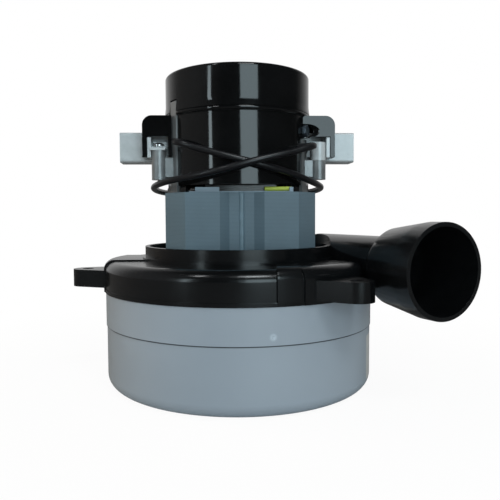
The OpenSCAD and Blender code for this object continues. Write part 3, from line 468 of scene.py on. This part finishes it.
BLUE_GREY_PAINT = Finish("blue_grey_paint", (0.086, 0.132, 0.163), 0.5, specular=0.4, relief=Relief.SHEETS,
                         depth=0.00004, grain=0.0006, mottle=0.07, drift=0.02, rub_and_glint_share=0.05,
                         rub_and_glint_colour=(0.2, 0.25, 0.29))
# Painted shade: the coils' copper is coloured nearly black because they lie in shade under the cover, and its
# scuffs are painted copper glints.
SHADED_COIL = Finish("copper_winding", (0.012, 0.007, 0.005), 0.3, look="coil_painted_shade", coat=0.5,
                      relief=Relief.WOUND, depth=0.0003, grain=0.0006, mottle=0.3, rub_and_glint_share=0.1,
                      rub_and_glint_colour=(0.35, 0.16, 0.07), rub_and_glint_rough=0.3)
WELD_BEAD = Finish("blue_grey_paint", (0.1, 0.155, 0.19), 0.34, look="painted_bead", depth=0.00005,
                   grain=0.0011, mottle=0.1, drift=0.006, rub_and_glint_share=0.06, rub_and_glint_colour=(0.2, 0.24, 0.26))
ALUMINIUM_SHEET = Finish("aluminium_sheet", (0.72, 0.73, 0.74), 0.34, 1.0, relief=Relief.TURNED,
                         rub_and_glint_share=0.05, rub_and_glint_colour=(0.45, 0.45, 0.44))
PLATED_STEEL = Finish("plated_steel", (0.6, 0.61, 0.62), 0.28, 1.0, relief=Relief.TURNED, depth=0.00001,
                      rub_and_glint_share=0.05, rub_and_glint_colour=(0.35, 0.34, 0.32))
DARK_SEAL = Finish("dark_seal", (0.035, 0.035, 0.037), 0.7)
BEARING_STEEL = Finish("bearing_steel", (0.62, 0.63, 0.65), 0.2, 1.0, relief=Relief.TURNED, depth=0.000006)
POLISHED_STEEL = Finish("polished_steel", (0.72, 0.73, 0.75), 0.08, 1.0, depth=0.000002)
CAGE_BRASS = Finish("cage_brass", (0.62, 0.45, 0.2), 0.3, 1.0, relief=Relief.TURNED, depth=0.00001)
COPPER_WINDING = Finish("copper_winding", (0.36, 0.14, 0.05), 0.34, 0.7, coat=0.5, relief=Relief.WOUND,
                        depth=0.00022, grain=0.0006, mottle=0.15, rub_and_glint_share=0.04, rub_and_glint_colour=(0.3, 0.16, 0.09))
GREY_INSULATOR = Finish("grey_insulator", (0.2, 0.255, 0.3), 0.62, specular=0.35, mottle=0.08)
YELLOW_TAPE = Finish("yellow_tape", (0.33, 0.4, 0.05), 0.55, relief=Relief.ROLLED, depth=0.00004, rub_and_glint_share=0.08,
                     rub_and_glint_colour=(0.5, 0.52, 0.25))
CORE_STEEL = Finish("core_steel", (0.34, 0.35, 0.37), 0.42, 1.0, relief=Relief.SHEETS, depth=0.00005, rub_and_glint_share=0.1,
                    rub_and_glint_colour=(0.2, 0.17, 0.14))
COMMUTATOR_COPPER = Finish("commutator_copper", (0.66, 0.33, 0.17), 0.24, 1.0, relief=Relief.TURNED,
                           rub_and_glint_share=0.14, rub_and_glint_colour=(0.12, 0.075, 0.05), rub_and_glint_rough=0.4)
CAST_ALUMINIUM = Finish("cast_aluminium", (0.25, 0.262, 0.268), 0.42, 0.7, relief=Relief.CAST, depth=0.00012,
                        grain=0.0011, mottle=0.12, drift=0.008, rub_and_glint_share=0.12, rub_and_glint_colour=(0.22, 0.2, 0.17))
SILVER_HOUSING = Finish("silver_housing", (0.42, 0.45, 0.46), 0.42, 0.3, relief=Relief.CAST, depth=0.00005,
                        grain=0.0009, mottle=0.1, drift=0.008, rub_and_glint_share=0.1, rub_and_glint_colour=(0.2, 0.22, 0.23))
TERMINAL_BRASS = Finish("terminal_brass", (0.66, 0.48, 0.22), 0.28, 1.0, relief=Relief.ROLLED, depth=0.00001)
CARBON = Finish("carbon", (0.03, 0.03, 0.032), 0.62, relief=Relief.PRESSED, depth=0.00004, grain=0.0004)
BLACK_PLASTIC = Finish("black_plastic", (0.012, 0.012, 0.013), 0.36, specular=0.4, depth=0.00002, rub_and_glint_share=0.08,
                       rub_and_glint_colour=(0.06, 0.06, 0.06))
DARK_SCREW = Finish("dark_screw", (0.05, 0.065, 0.08), 0.34, 0.6, relief=Relief.TURNED, depth=0.00001)
BLACK_LEAD = Finish("black_lead", (0.0055, 0.0055, 0.0065), 0.3, specular=0.45, depth=0.00003, grain=0.0015,
                    rub_and_glint_share=0.08, rub_and_glint_colour=(0.03, 0.03, 0.032))


class Bench:
    """Operators and selections as they are used by hand, for one object at a time."""

    @staticmethod
    def clear() -> None:
        """Deselect everything."""
        bpy.ops.object.select_all(action="DESELECT")

    @staticmethod
    def hold(obj: bpy.types.Object) -> None:
        """Make one object the only selected and active one.

        Args:
            obj: The object.
        """
        Bench.clear()
        obj.select_set(True)
        bpy.context.view_layer.objects.active = obj

    @staticmethod
    def added(name: str) -> bpy.types.Object:
        """Name the object that an operator has just added.

        Args:
            name: The piece's name.

        Returns:
            The object.
        """
        obj = bpy.context.active_object
        obj.name = obj.data.name = name
        Bench.settle(obj)
        return obj

    @staticmethod
    def settle(obj: bpy.types.Object) -> None:
        """Move an object's place, turn and scale into its mesh."""
        Bench.hold(obj)
        bpy.ops.object.transform_apply(location=True, rotation=True, scale=True)

    @staticmethod
    def cylinder(name: str, radius: float, low: Point, high: Point, sides: int = 48) -> bpy.types.Object:
        """Add a cylinder between two points.

        Args:
            name: The piece's name.
            radius: Its radius.
            low: Centre of its first end.
            high: Centre of its second end.
            sides: Number of sides.

        Returns:
            The object.
        """
        a, b = Vector(low), Vector(high)
        turn = (b - a).to_track_quat("Z", "Y").to_euler()
        Bench.clear()
        bpy.ops.mesh.primitive_cylinder_add(
            vertices=sides, radius=radius, depth=(b - a).length, location=(a + b) / 2, rotation=turn
        )
        return Bench.added(name)

    @staticmethod
    def pick(obj: bpy.types.Object, wanted: Callable[[bpy.types.MeshPolygon], bool]) -> None:
        """Select the faces of an object that a test accepts, and enter edit mode.

        Args:
            obj: The object.
            wanted: The test on a face.
        """
        Bench.hold(obj)
        bpy.ops.object.mode_set(mode="EDIT")
        bpy.ops.mesh.select_mode(type="FACE")
        bpy.ops.mesh.select_all(action="DESELECT")
        bpy.ops.object.mode_set(mode="OBJECT")
        for face in obj.data.polygons:
            face.select = wanted(face)
        bpy.ops.object.mode_set(mode="EDIT")

    @staticmethod
    def done() -> None:
        """Leave edit mode."""
        bpy.ops.object.mode_set(mode="OBJECT")

    @staticmethod
    def modify(obj: bpy.types.Object, kind: str, **settings: object) -> None:
        """Add a modifier and apply it.

        Args:
            obj: The object.
            kind: Type of the modifier.
            settings: Its settings.
        """
        Bench.hold(obj)
        added = obj.modifiers.new(kind.title(), kind)
        for key, value in settings.items():
            setattr(added, key, value)
        bpy.ops.object.modifier_apply(modifier=added.name)

    @staticmethod
    def soften(obj: bpy.types.Object, width: float, segments: int = 2, angle: float = 32.0) -> None:
        """Round the sharp edges and shade the rest smoothly.

        Args:
            obj: The object.
            width: Width of the rounding.
            segments: Steps in the rounding.
            angle: Least angle of a sharp edge, in degrees.
        """
        if width > 0:
            Bench.modify(obj, "BEVEL", width=width, segments=segments, limit_method="ANGLE",
                         angle_limit=math.radians(angle), use_clamp_overlap=True, miter_outer="MITER_ARC")
        Bench.hold(obj)
        bpy.ops.object.shade_smooth_by_angle(angle=SMOOTH_WITHIN)
        Bench.modify(obj, "WEIGHTED_NORMAL", keep_sharp=True, weight=60)

    @staticmethod
    def copy_of(node: str, name: str) -> bpy.types.Object:
        """Copy a CAD node's mesh and join its loose triangles.

        Args:
            node: The CAD node.
            name: The copy's name.

        Returns:
            The copy, at the origin.
        """
        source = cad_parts[node]
        obj = bpy.data.objects.new(name, source.data.copy())
        bpy.context.scene.collection.objects.link(obj)
        Bench.hold(obj)
        if obj.data.has_custom_normals:
            bpy.ops.mesh.customdata_custom_splitnormals_clear()
        bpy.ops.object.mode_set(mode="EDIT")
        bpy.ops.mesh.select_all(action="SELECT")
        bpy.ops.mesh.remove_doubles(threshold=MERGE_WITHIN)
        bpy.ops.mesh.dissolve_degenerate(threshold=MERGE_WITHIN)
        bpy.ops.mesh.dissolve_limited(angle_limit=FLAT_WITHIN)
        bpy.ops.object.mode_set(mode="OBJECT")
        return obj

    @staticmethod
    def cut(obj: bpy.types.Object, place: Point, away: Point, drop: bool = True, close: bool = False) -> None:
        """Cut a piece along a plane.

        Args:
            obj: The piece.
            place: A point of the plane.
            away: Direction of the plane's normal.
            drop: Whether the side that the normal points to is dropped.
            close: Whether the cut is closed with faces.
        """
        Bench.hold(obj)
        bpy.ops.object.mode_set(mode="EDIT")
        bpy.ops.mesh.select_all(action="SELECT")
        bpy.ops.mesh.bisect(plane_co=place, plane_no=away, use_fill=close, clear_outer=drop)
        bpy.ops.object.mode_set(mode="OBJECT")

    @staticmethod
    def turned_with_motor(obj: bpy.types.Object, half_turn: bool = False) -> None:
        """Turn a piece with the motor frame, and half a turn more for the opposite side.

        Args:
            obj: The piece, modelled on the unturned motor's +X side.
            half_turn: Whether it goes to the opposite side.
        """
        angle = MOTOR_TURN + (math.pi if half_turn else 0.0)
        obj.data.transform(Matrix.Rotation(angle, 4, "Z"))


class SubAssembly:
    """What the sub-assemblies share: dressing CAD nodes and finishing new pieces."""

    title = "sub-assembly"

    def carry(self, finish: Finish, *nodes: str) -> None:
        """Give CAD nodes that stay as they are their finish.

        Args:
            finish: The finish.
            nodes: The CAD nodes.
        """
        for node in nodes:
            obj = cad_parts[node]
            obj.data.materials.clear()
            obj.data.materials.append(finish.material())
            log.info("%s: carried %s in %s", self.title, node, finish.slot)

    def finish(self, obj: bpy.types.Object, finish: Finish, body: str, *nodes: str) -> bpy.types.Object:
        """Give a new piece its finish, its body and the nodes that it stands for.

        Args:
            obj: The piece.
            finish: Its finish.
            body: The CAD body that it rides on.
            nodes: The CAD nodes that it replaces.

        Returns:
            The piece.
        """
        obj.data.materials.clear()
        obj.data.materials.append(finish.material())
        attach(obj, body)
        if nodes:
            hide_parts(*nodes)
        log.info("%s: made %s in %s", self.title, obj.name, finish.slot)
        return obj

    def refine(self, node: str, finish: Finish, body: str = STATOR, width: float = 0.0002,
               segments: int = 2) -> bpy.types.Object:
        """Stand a smooth copy with softened edges in for a CAD node.

        Args:
            node: The CAD node.
            finish: Its finish.
            body: The body that it rides on.
            width: Width of the edge rounding.
            segments: Steps in that rounding.

        Returns:
            The new piece.
        """
        obj = Bench.copy_of(node, f"{node}_skin")
        Bench.soften(obj, width, segments)
        return self.finish(obj, finish, body, node)


@dataclass(frozen=True)
class Lamp:
    """A soft rectangular lamp that faces the object.

    Attributes:
        name: Its name.
        azimuth: Direction from the object, in degrees from the front towards +X.
        height: Height of its centre.
        reach: Distance from the shaft.
        size: Width and height.
        power: Power in watts.
        colour: Colour of the light.
        mirrored: Whether shiny surfaces show the lamp itself.
    """

    name: str
    azimuth: float
    height: float
    reach: float
    size: tuple[float, float]
    power: float
    colour: Colour
    mirrored: bool = True

    def hang(self, aim_z: float) -> None:
        """Add the lamp to the scene.

        Args:
            aim_z: Height of the point on the shaft that it faces.
        """
        turn = math.radians(self.azimuth)
        place = Vector((self.reach * math.sin(turn), -self.reach * math.cos(turn), self.height))
        data = bpy.data.lights.new(self.name, "AREA")
        data.shape, (data.size, data.size_y) = "RECTANGLE", self.size
        data.energy, data.color = self.power, self.colour
        obj = bpy.data.objects.new(self.name, data)
        obj.location = place
        obj.rotation_euler = (place - Vector((0, 0, aim_z))).to_track_quat("Z", "Y").to_euler()
        obj.visible_glossy = self.mirrored
        bpy.context.scene.collection.objects.link(obj)


LAMPS = (
    Lamp("window", 18.0, 0.33, 1.5, (0.7, 0.72), 7.2, (0.74, 0.93, 1.0)),
    Lamp("window_top", 18.0, 1.35, 1.0, (0.5, 0.3), 7.0, (0.9, 0.97, 1.0)),
    Lamp("strip_top", -42.5, 1.35, 1.0, (0.12, 0.3), 1.8, (0.95, 0.98, 1.0)),
    Lamp("strip", -42.5, 0.33, 1.5, (0.14, 0.72), 1.9, (0.78, 0.94, 1.0)),
    Lamp("soft_front", -8.0, 0.9, 1.5, (1.0, 0.7), 5.3, (0.86, 0.96, 1.0), mirrored=False),
    Lamp("soft_top", 0.0, 1.5, 0.15, (1.0, 0.8), 2.0, (0.95, 0.98, 1.0), mirrored=False),
    Lamp("soft_right", 88.0, 0.5, 1.6, (0.9, 1.0), 7.5, (1.0, 0.95, 0.88), mirrored=False),
    Lamp("soft_left", -104.0, 0.5, 1.6, (0.7, 1.0), 14.0, (1.0, 0.76, 0.52), mirrored=False),
    Lamp("soft_back", 180.0, 0.7, 1.7, (1.2, 0.9), 5.0, (1.0, 1.0, 1.0), mirrored=False),
)


@dataclass
class Studio(SubAssembly):
    """Camera, floor and surroundings.

    Attributes:
        eye: Place of the camera.
        tilt: Angle by which it looks down, in radians.
        roll: Angle by which it leans, in radians.
        lens: Focal length in millimetres.
        sensor: Width of the sensor in millimetres.
        shift: Shift of the view, as a share of its width.
        aim_z: Height that the lamps face.
        room_behind: Brightness of the mirrored room behind the object.
        room_above: What it gains towards the ceiling.
        room_left: Brightness at the left.
        room_rest: Brightness everywhere.
        ambient: Brightness of the surroundings for soft light.
        floor_size: Width of the floor.
        floor_tone: Shade of the floor's paper.
        floor_mirrored: Share of the floor's glow in reflections.
        shadow: Share of the paper that shows near the object.
    """

    title = "studio"
    eye: Point = (-0.00118, -0.31258, 0.09088)
    tilt: float = 0.0568
    roll: float = -0.0059
    lens: float = 40.09
    sensor: float = 36.0
    shift: tuple[float, float] = (0.0284, -0.0058)
    aim_z: float = 0.09
    room_behind: float = 0.55
    room_above: float = 0.3
    room_left: float = 0.2
    room_rest: float = 0.02
    ambient: float = 0.2
    floor_size: float = 6.0
    floor_tone: float = 0.86
    floor_mirrored: float = 0.9
    shadow: float = 0.06

    def camera(self) -> None:
        """Place the camera that was fitted to the photograph."""
        ahead = Vector((0, math.cos(self.tilt), -math.sin(self.tilt)))
        side, up = Vector((1, 0, 0)), Vector((0, math.sin(self.tilt), math.cos(self.tilt)))
        right = side * math.cos(self.roll) + up * math.sin(self.roll)
        top = up * math.cos(self.roll) - side * math.sin(self.roll)
        data = bpy.data.cameras.new("photo_camera")
        data.lens, data.sensor_width = self.lens, self.sensor
        data.shift_x, data.shift_y = self.shift
        data.clip_start, data.clip_end = 0.01, 30.0
        obj = bpy.data.objects.new("photo_camera", data)
        obj.matrix_world = Matrix.Translation(self.eye) @ Matrix((right, top, -ahead)).transposed().to_4x4()
        bpy.context.scene.collection.objects.link(obj)
        bpy.context.scene.camera = obj

    def surroundings(self) -> None:
        """Make the world white behind the object and dim on the camera's side for reflections."""
        world = bpy.data.worlds.new("studio_world")
        bpy.context.scene.world = world
        world.use_nodes = True
        g = Graph(world.node_tree)
        path = g.node("ShaderNodeLightPath", {}, {})
        camera, glossy, through = (
            Socket(g, path.outputs[n]) for n in ("Is Camera Ray", "Is Glossy Ray", "Is Transmission Ray")
        )
        toward = g.node("ShaderNodeSeparateXYZ", {}, {0: g.out("ShaderNodeTexCoord", {}, {}, "Generated")})
        behind = Socket(g, toward.outputs[1]).ramp(0.2, 0.95)
        above = Socket(g, toward.outputs[2]).ramp(0.0, 0.45)
        aside = (Socket(g, toward.outputs[0]) * -1.0).ramp(0.3, 0.95)
        room = behind * (above * self.room_above + self.room_behind) + aside * self.room_left + self.room_rest
        seen = (glossy + through).least(1.0)
        level = camera + (1.0 - camera) * (seen * room + (1.0 - seen) * self.ambient)
        shade = g.mix(level, (0.0, 0.0, 0.0), (1.0, 1.0, 1.0))
        shader = g.out("ShaderNodeBackground", {}, {"Color": shade, "Strength": 1.0})
        g.node("ShaderNodeOutputWorld", {}, {"Surface": shader})

    def floor(self) -> None:
        """Lay a pale floor that fades to white away from the object and keeps its shadow."""
        Bench.clear()
        bpy.ops.mesh.primitive_grid_add(x_subdivisions=24, y_subdivisions=24, size=self.floor_size)
        obj = Bench.added("studio_floor")
        made = bpy.data.materials.new("studio_floor")
        made.use_nodes = True
        g = Graph(made.node_tree)
        x, y, _ = g.axes()
        near = 1.0 - ((x * x + y * y) ** 0.5).ramp(0.1, 0.3)
        path = g.node("ShaderNodeLightPath", {}, {})
        camera, glossy = (Socket(g, path.outputs[n]) for n in ("Is Camera Ray", "Is Glossy Ray"))
        paper = g.out("ShaderNodeBsdfDiffuse", {}, {"Color": (*[self.floor_tone] * 3, 1.0)})
        seen = g.mix(camera, (0.05, 0.05, 0.05), (1.0, 1.0, 1.0))
        glow = g.out("ShaderNodeEmission", {}, {"Color": seen, "Strength": 1.0})
        share = camera * (1.0 - near * self.shadow) + glossy * self.floor_mirrored
        shader = g.out("ShaderNodeMixShader", {}, {0: share, 1: paper, 2: glow})
        g.node("ShaderNodeOutputMaterial", {}, {"Surface": shader})
        obj.data.materials.append(made)

    def build(self) -> None:
        """Build the stage; the camera is placed on its own before this."""
        self.surroundings()
        for lamp in LAMPS:
            lamp.hang(self.aim_z)
        self.floor()
        log.info("%s: lamps, floor and surroundings", self.title)


@dataclass
class Lead(SubAssembly):
    """One insulated lead with its push-on terminal.

    Attributes:
        name: The CAD node that it replaces.
        route: Points of its centreline, as in the CAD source.
        terminal: The CAD node at its far end.
        diameter: Its diameter in metres.
    """

    name: str
    route: Sequence[Point]
    terminal: str
    diameter: float = 0.0033
    title = "leads"

    def centreline(self, steps: int = 5) -> list[Vector]:
        """Round the route's corners with a curve through all its points.

        Args:
            steps: Points for each stretch of the route.

        Returns:
            Points in metres.
        """
        p = [Vector(q) for q in self.route]
        p = [2 * p[0] - p[1], *p, 2 * p[-1] - p[-2]]
        line = []
        for a, b, c, d in zip(p, p[1:], p[2:], p[3:]):
            for k in range(steps):
                t = k / steps
                line.append(0.5 * (2 * b + (c - a) * t + (2 * a - 5 * b + 4 * c - d) * t * t
                                   + (3 * b - a - 3 * c + d) * t ** 3))
        return [*line, p[-2]]

    def build(self) -> None:
        line = self.centreline()
        data = bpy.data.curves.new(self.name + "_insulation", "CURVE")
        data.dimensions, data.bevel_depth, data.bevel_resolution = "3D", self.diameter / 2, 5
        data.use_fill_caps = True
        spline = data.splines.new("POLY")
        spline.points.add(len(line) - 1)
        for point, at in zip(spline.points, line):
            point.co = (*at, 1.0)
        spline.use_smooth = True
        obj = bpy.data.objects.new(self.name + "_insulation", data)
        bpy.context.scene.collection.objects.link(obj)
        length = sum((b - a).length for a, b in zip(line, line[1:]))
        self.finish(obj, BLACK_LEAD, STATOR, self.name)
        self.carry(TERMINAL_BRASS, self.terminal)


LEADS = (
    Lead("lead_one", (
        (-0.02722, -0.02417, 0.1286), (-0.02931, -0.02603, 0.1286), (-0.03093, -0.02816, 0.1284),
        (-0.03155, -0.03095, 0.1281), (-0.03093, -0.03374, 0.1276), (-0.02919, -0.036, 0.127),
        (-0.0265, -0.0376, 0.1261), (-0.0215, -0.0392, 0.1244), (-0.013, -0.0408, 0.1219),
        (-0.004, -0.0418, 0.1194), (0.005, -0.0416, 0.1172), (0.014, -0.0396, 0.115),
        (0.022, -0.0362, 0.113), (0.03, -0.031, 0.1108), (0.037, -0.0246, 0.1085), (0.0424, -0.016, 0.107),
        (0.0452, -0.008, 0.1062), (0.046, 0, 0.1056), (0.0449, 0.008, 0.105), (0.0422, 0.0156, 0.1045),
        (0.0372, 0.0229, 0.1046), (0.0304, 0.0292, 0.1056), (0.0224, 0.035, 0.1069), (0.013, 0.0392, 0.106),
        (0.004, 0.0412, 0.106),
    ), "lead_terminal_one"),
    Lead("lead_two", (
        (0.02973, -0.02117, 0.126), (0.0323, -0.023, 0.126), (0.03541, -0.02521, 0.126),
        (0.0374, -0.02745, 0.1259), (0.03817, -0.03032, 0.1256), (0.0376, -0.03323, 0.1251),
        (0.03581, -0.0356, 0.1244), (0.03317, -0.037, 0.1236), (0.028, -0.039, 0.122), (0.02, -0.042, 0.12),
        (0.011, -0.0443, 0.1178), (0.002, -0.0452, 0.1155), (-0.007, -0.0446, 0.1132),
        (-0.016, -0.0422, 0.1113), (-0.025, -0.038, 0.1098), (-0.033, -0.032, 0.1087),
        (-0.0394, -0.0248, 0.1076), (-0.0436, -0.0166, 0.1067), (-0.0456, -0.008, 0.106),
        (-0.0458, 0, 0.1054), (-0.0446, 0.008, 0.1048), (-0.0422, 0.016, 0.1044), (-0.0386, 0.024, 0.1043),
        (-0.033, 0.0314, 0.1043), (-0.025, 0.0376, 0.1043),
    ), "lead_terminal_two"),
)


@dataclass
class FanCase(SubAssembly):
    """Both shells with the fans between them.

    Attributes:
        lower_edge: Width of the rounding on the lower shell's edges.
        upper_edge: The same on the upper shell.
    """

    title = "fan case"
    lower_edge: float = 0.0002
    upper_edge: float = 0.00025

    def build(self) -> None:
        """Dress the shells and the fans."""
        self.refine("lower_shell", GREY_SHELL, width=self.lower_edge)
        self.refine("upper_shell", GREY_SHELL, width=self.upper_edge)
        self.carry(ALUMINIUM_SHEET, "first_stage_fan", "stationary_fan", "second_stage_fan")
        self.carry(PLATED_STEEL, "fan_nut", "fan_washers", "fan_spacers")


@dataclass
class FanEndBracket(SubAssembly):
    """Black moulding that closes the case, with its discharge horn.

    Attributes:
        bracket_edge: Width of the rounding on the bracket's edges.
        horn_edge: The same on the horn.
        horn_z: Height of the horn's axis.
        line_half: Half the width of the mould's parting line.
        line_rise: Height of that line.
        line_edge: Width of the rounding on it.
    """

    title = "fan-end bracket"
    bracket_edge: float = 0.0004
    horn_edge: float = 0.0006
    horn_z: float = 0.0653
    line_half: float = 0.00008
    line_rise: float = 0.00014
    line_edge: float = 0.00004

    def build(self) -> None:
        """Dress the bracket and the horn."""
        self.refine("fan_end_bracket", BLACK_MOULDING, width=self.bracket_edge)
        self.refine("discharge_horn", BLACK_MOULDING, width=self.horn_edge, segments=3)
        self.parting_line()
        self.carry(DARK_SEAL, "air_seal")

    def parting_line(self) -> None:
        """Raise the thin line that the mould's halves left along both sides of the horn."""
        obj = Bench.copy_of("discharge_horn", "horn_parting_line")
        Bench.cut(obj, (0, 0, self.horn_z - self.line_half), (0, 0, -1), close=True)
        Bench.cut(obj, (0, 0, self.horn_z + self.line_half), (0, 0, 1), close=True)
        Bench.hold(obj)
        bpy.ops.object.mode_set(mode="EDIT")
        bpy.ops.mesh.select_all(action="SELECT")
        bpy.ops.transform.shrink_fatten(value=-self.line_rise)
        bpy.ops.object.mode_set(mode="OBJECT")
        Bench.soften(obj, self.line_edge, 1)
        self.finish(obj, BLACK_MOULDING, STATOR)


@dataclass
class Bearings(SubAssembly):
    """Both ball bearings with what holds them."""

    title = "bearings"

    def build(self) -> None:
        """Dress races, balls and cages."""
        for place in ("lower", "upper"):
            self.carry(BEARING_STEEL, f"{place}_bearing_outer", f"{place}_bearing_inner")
            self.carry(POLISHED_STEEL, f"{place}_bearing_balls")
            self.carry(CAGE_BRASS, f"{place}_bearing_cage")
        self.carry(PLATED_STEEL, "bearing_retainer", "retainer_screws", "preload_washer")


@dataclass
class Field(SubAssembly):
    """Painted field stack with its coils, insulators and long screws.

    Attributes:
        cut_z: Height at which one sheet's edge is cut out of the stack.
        groove_h: Height of the groove at each rim of a sheet.
        groove_in: Factor by which the groove is drawn in.
        bead_r: Radius of a weld bead.
        bead_y: Place of its axis in front of the shaft.
        bead_trim: How far it stops short of the stack's ends.
        bead_edge: Width of the rounding on the bead's ends.
        coil_edge: Width of the rounding on the coils.
        insulator_edge: The same on the insulators.
        tape_edge: The same on the taped splice.
        bolt_edge: The same on the long screws.
    """

    title = "field"
    cut_z: float = 0.084
    groove_h: float = 0.00009
    groove_in: float = 0.9972
    bead_r: float = 0.00137
    bead_y: float = -0.0355
    bead_trim: float = 0.0003
    bead_edge: float = 0.0004
    coil_edge: float = 0.0008
    insulator_edge: float = 0.0001
    tape_edge: float = 0.0004
    bolt_edge: float = 0.00025

    def sheets(self) -> None:
        """Cut one sheet's edge out of the stack, groove it, stack copies of it and close the ends."""
        ends = Bench.copy_of("field_laminations", "field_stack_ends")
        Bench.pick(ends, lambda face: abs(face.normal.z) < 0.5)
        bpy.ops.mesh.delete(type="FACE")
        Bench.done()
        obj = Bench.copy_of("field_laminations", "field_laminations_skin")
        low, high = self.cut_z, self.cut_z + SHEET_T
        Bench.cut(obj, (0, 0, low), (0, 0, -1))
        Bench.cut(obj, (0, 0, high), (0, 0, 1))
        for z in (low + self.groove_h, high - self.groove_h):
            Bench.cut(obj, (0, 0, z), (0, 0, 1), drop=False)
        self.groove(obj, low, high)
        Bench.modify(obj, "ARRAY", count=SHEETS, use_relative_offset=False, use_constant_offset=True,
                     constant_offset_displace=(0, 0, SHEET_T), use_merge_vertices=True,
                     merge_threshold=MERGE_WITHIN)
        Bench.hold(obj)
        bpy.ops.transform.translate(value=(0, 0, SHEET_FOOT - low))
        Bench.settle(obj)
        ends.select_set(True)
        bpy.ops.object.join()
        Bench.soften(obj, 0)
        self.finish(obj, BLUE_GREY_PAINT, STATOR, "field_laminations")

    def groove(self, obj: bpy.types.Object, low: float, high: float) -> None:
        """Draw the upper and lower edge of a sheet in.

        Args:
            obj: The sheet's edge, open above and below.
            low: Height of its lower edge.
            high: Height of its upper edge.
        """
        Bench.hold(obj)
        bpy.ops.object.mode_set(mode="EDIT")
        bpy.ops.mesh.select_mode(type="VERT")
        bpy.ops.mesh.select_all(action="DESELECT")
        bpy.ops.object.mode_set(mode="OBJECT")
        for corner in obj.data.vertices:
            corner.select = min(abs(corner.co.z - low), abs(corner.co.z - high)) < self.groove_h / 9
        bpy.ops.object.mode_set(mode="EDIT")
        bpy.ops.transform.resize(value=(self.groove_in, self.groove_in, 1.0), center_override=(0, 0, low))
        bpy.ops.object.mode_set(mode="OBJECT")

    def weld_beads(self) -> None:
        """Lay the weld bead that runs down the recess of each face."""
        low, high = SHEET_FOOT + self.bead_trim, SHEET_FOOT + SHEETS * SHEET_T - self.bead_trim
        ends = (0, self.bead_y, low), (0, self.bead_y, high)
        for side, half_turn in (("front", False), ("rear", True)):
            obj = Bench.cylinder(f"weld_bead_{side}", self.bead_r, *ends, 32)
            Bench.turned_with_motor(obj, half_turn)
            Bench.soften(obj, self.bead_edge, 3)
            self.finish(obj, WELD_BEAD, STATOR)

    def build(self) -> None:
        """Dress the stack and what is on it."""
        self.sheets()
        self.weld_beads()
        self.refine("field_coils", SHADED_COIL, width=self.coil_edge, segments=3)
        self.refine("slot_insulators", GREY_INSULATOR, width=self.insulator_edge)
        self.refine("coil_tape", YELLOW_TAPE, width=self.tape_edge)
        self.refine("through_bolts", PLATED_STEEL, width=self.bolt_edge)


@dataclass
class Armature(SubAssembly):
    """Shaft, core, windings and commutator."""

    title = "armature"

    def build(self) -> None:
        """Dress the turning parts of the motor."""
        self.carry(BEARING_STEEL, "shaft")
        self.carry(CORE_STEEL, "armature_core")
        self.carry(COPPER_WINDING, "armature_windings")
        self.carry(COMMUTATOR_COPPER, "commutator")


@dataclass
class BrushGear(SubAssembly):
    """Commutator bracket with both brush housings.

    Attributes:
        casting_edge: Width of the rounding on the castings' edges.
        screw_edge: The same on the clamp screws.
    """

    title = "brush gear"
    casting_edge: float = 0.0003
    screw_edge: float = 0.0002

    def build(self) -> None:
        """Dress the bracket, the housings and the brushes."""
        self.refine("commutator_bracket", CAST_ALUMINIUM, width=self.casting_edge)
        for side in ("left", "right"):
            self.refine(f"brush_housing_{side}", SILVER_HOUSING, width=self.casting_edge)
            self.carry(TERMINAL_BRASS, f"brush_sleeve_{side}", f"brush_terminal_{side}")
            self.carry(CARBON, f"carbon_brush_{side}")
            self.carry(PLATED_STEEL, f"brush_spring_{side}", f"brush_clamp_{side}")
        self.refine("clamp_screws", PLATED_STEEL, width=self.screw_edge)


@dataclass
class CoolingFan(SubAssembly):
    """Cooling fan under its stepped cover.

    Attributes:
        cover_edge: Width of the rounding on the cover's edges.
        screw_edge: The same on the cover's screws.
    """

    title = "cooling fan"
    cover_edge: float = 0.00035
    screw_edge: float = 0.0003

    def build(self) -> None:
        """Dress the fan, its nut, the cover and the cover's screws."""
        self.carry(BLACK_PLASTIC, "vent_fan")
        self.carry(PLATED_STEEL, "vent_fan_nut")
        self.refine("vent_fan_cover", BLACK_COVER, width=self.cover_edge)
        self.refine("cover_screws", DARK_SCREW, width=self.screw_edge)


def main() -> None:
    """Build the camera and the cords, then each sub-assembly, then the stage."""
    logging.basicConfig(level=logging.INFO, format="%(name)s %(message)s")
    scene = bpy.context.scene
    scene.view_settings.view_transform = "Standard"
    studio = Studio()
    studio.camera()
    for lead in LEADS:
        lead.build()
    for part in (FanCase(), FanEndBracket(), Bearings(), Field(), Armature(), BrushGear(), CoolingFan()):
        part.build()
    studio.build()


if __name__ == "__main__":
    main()
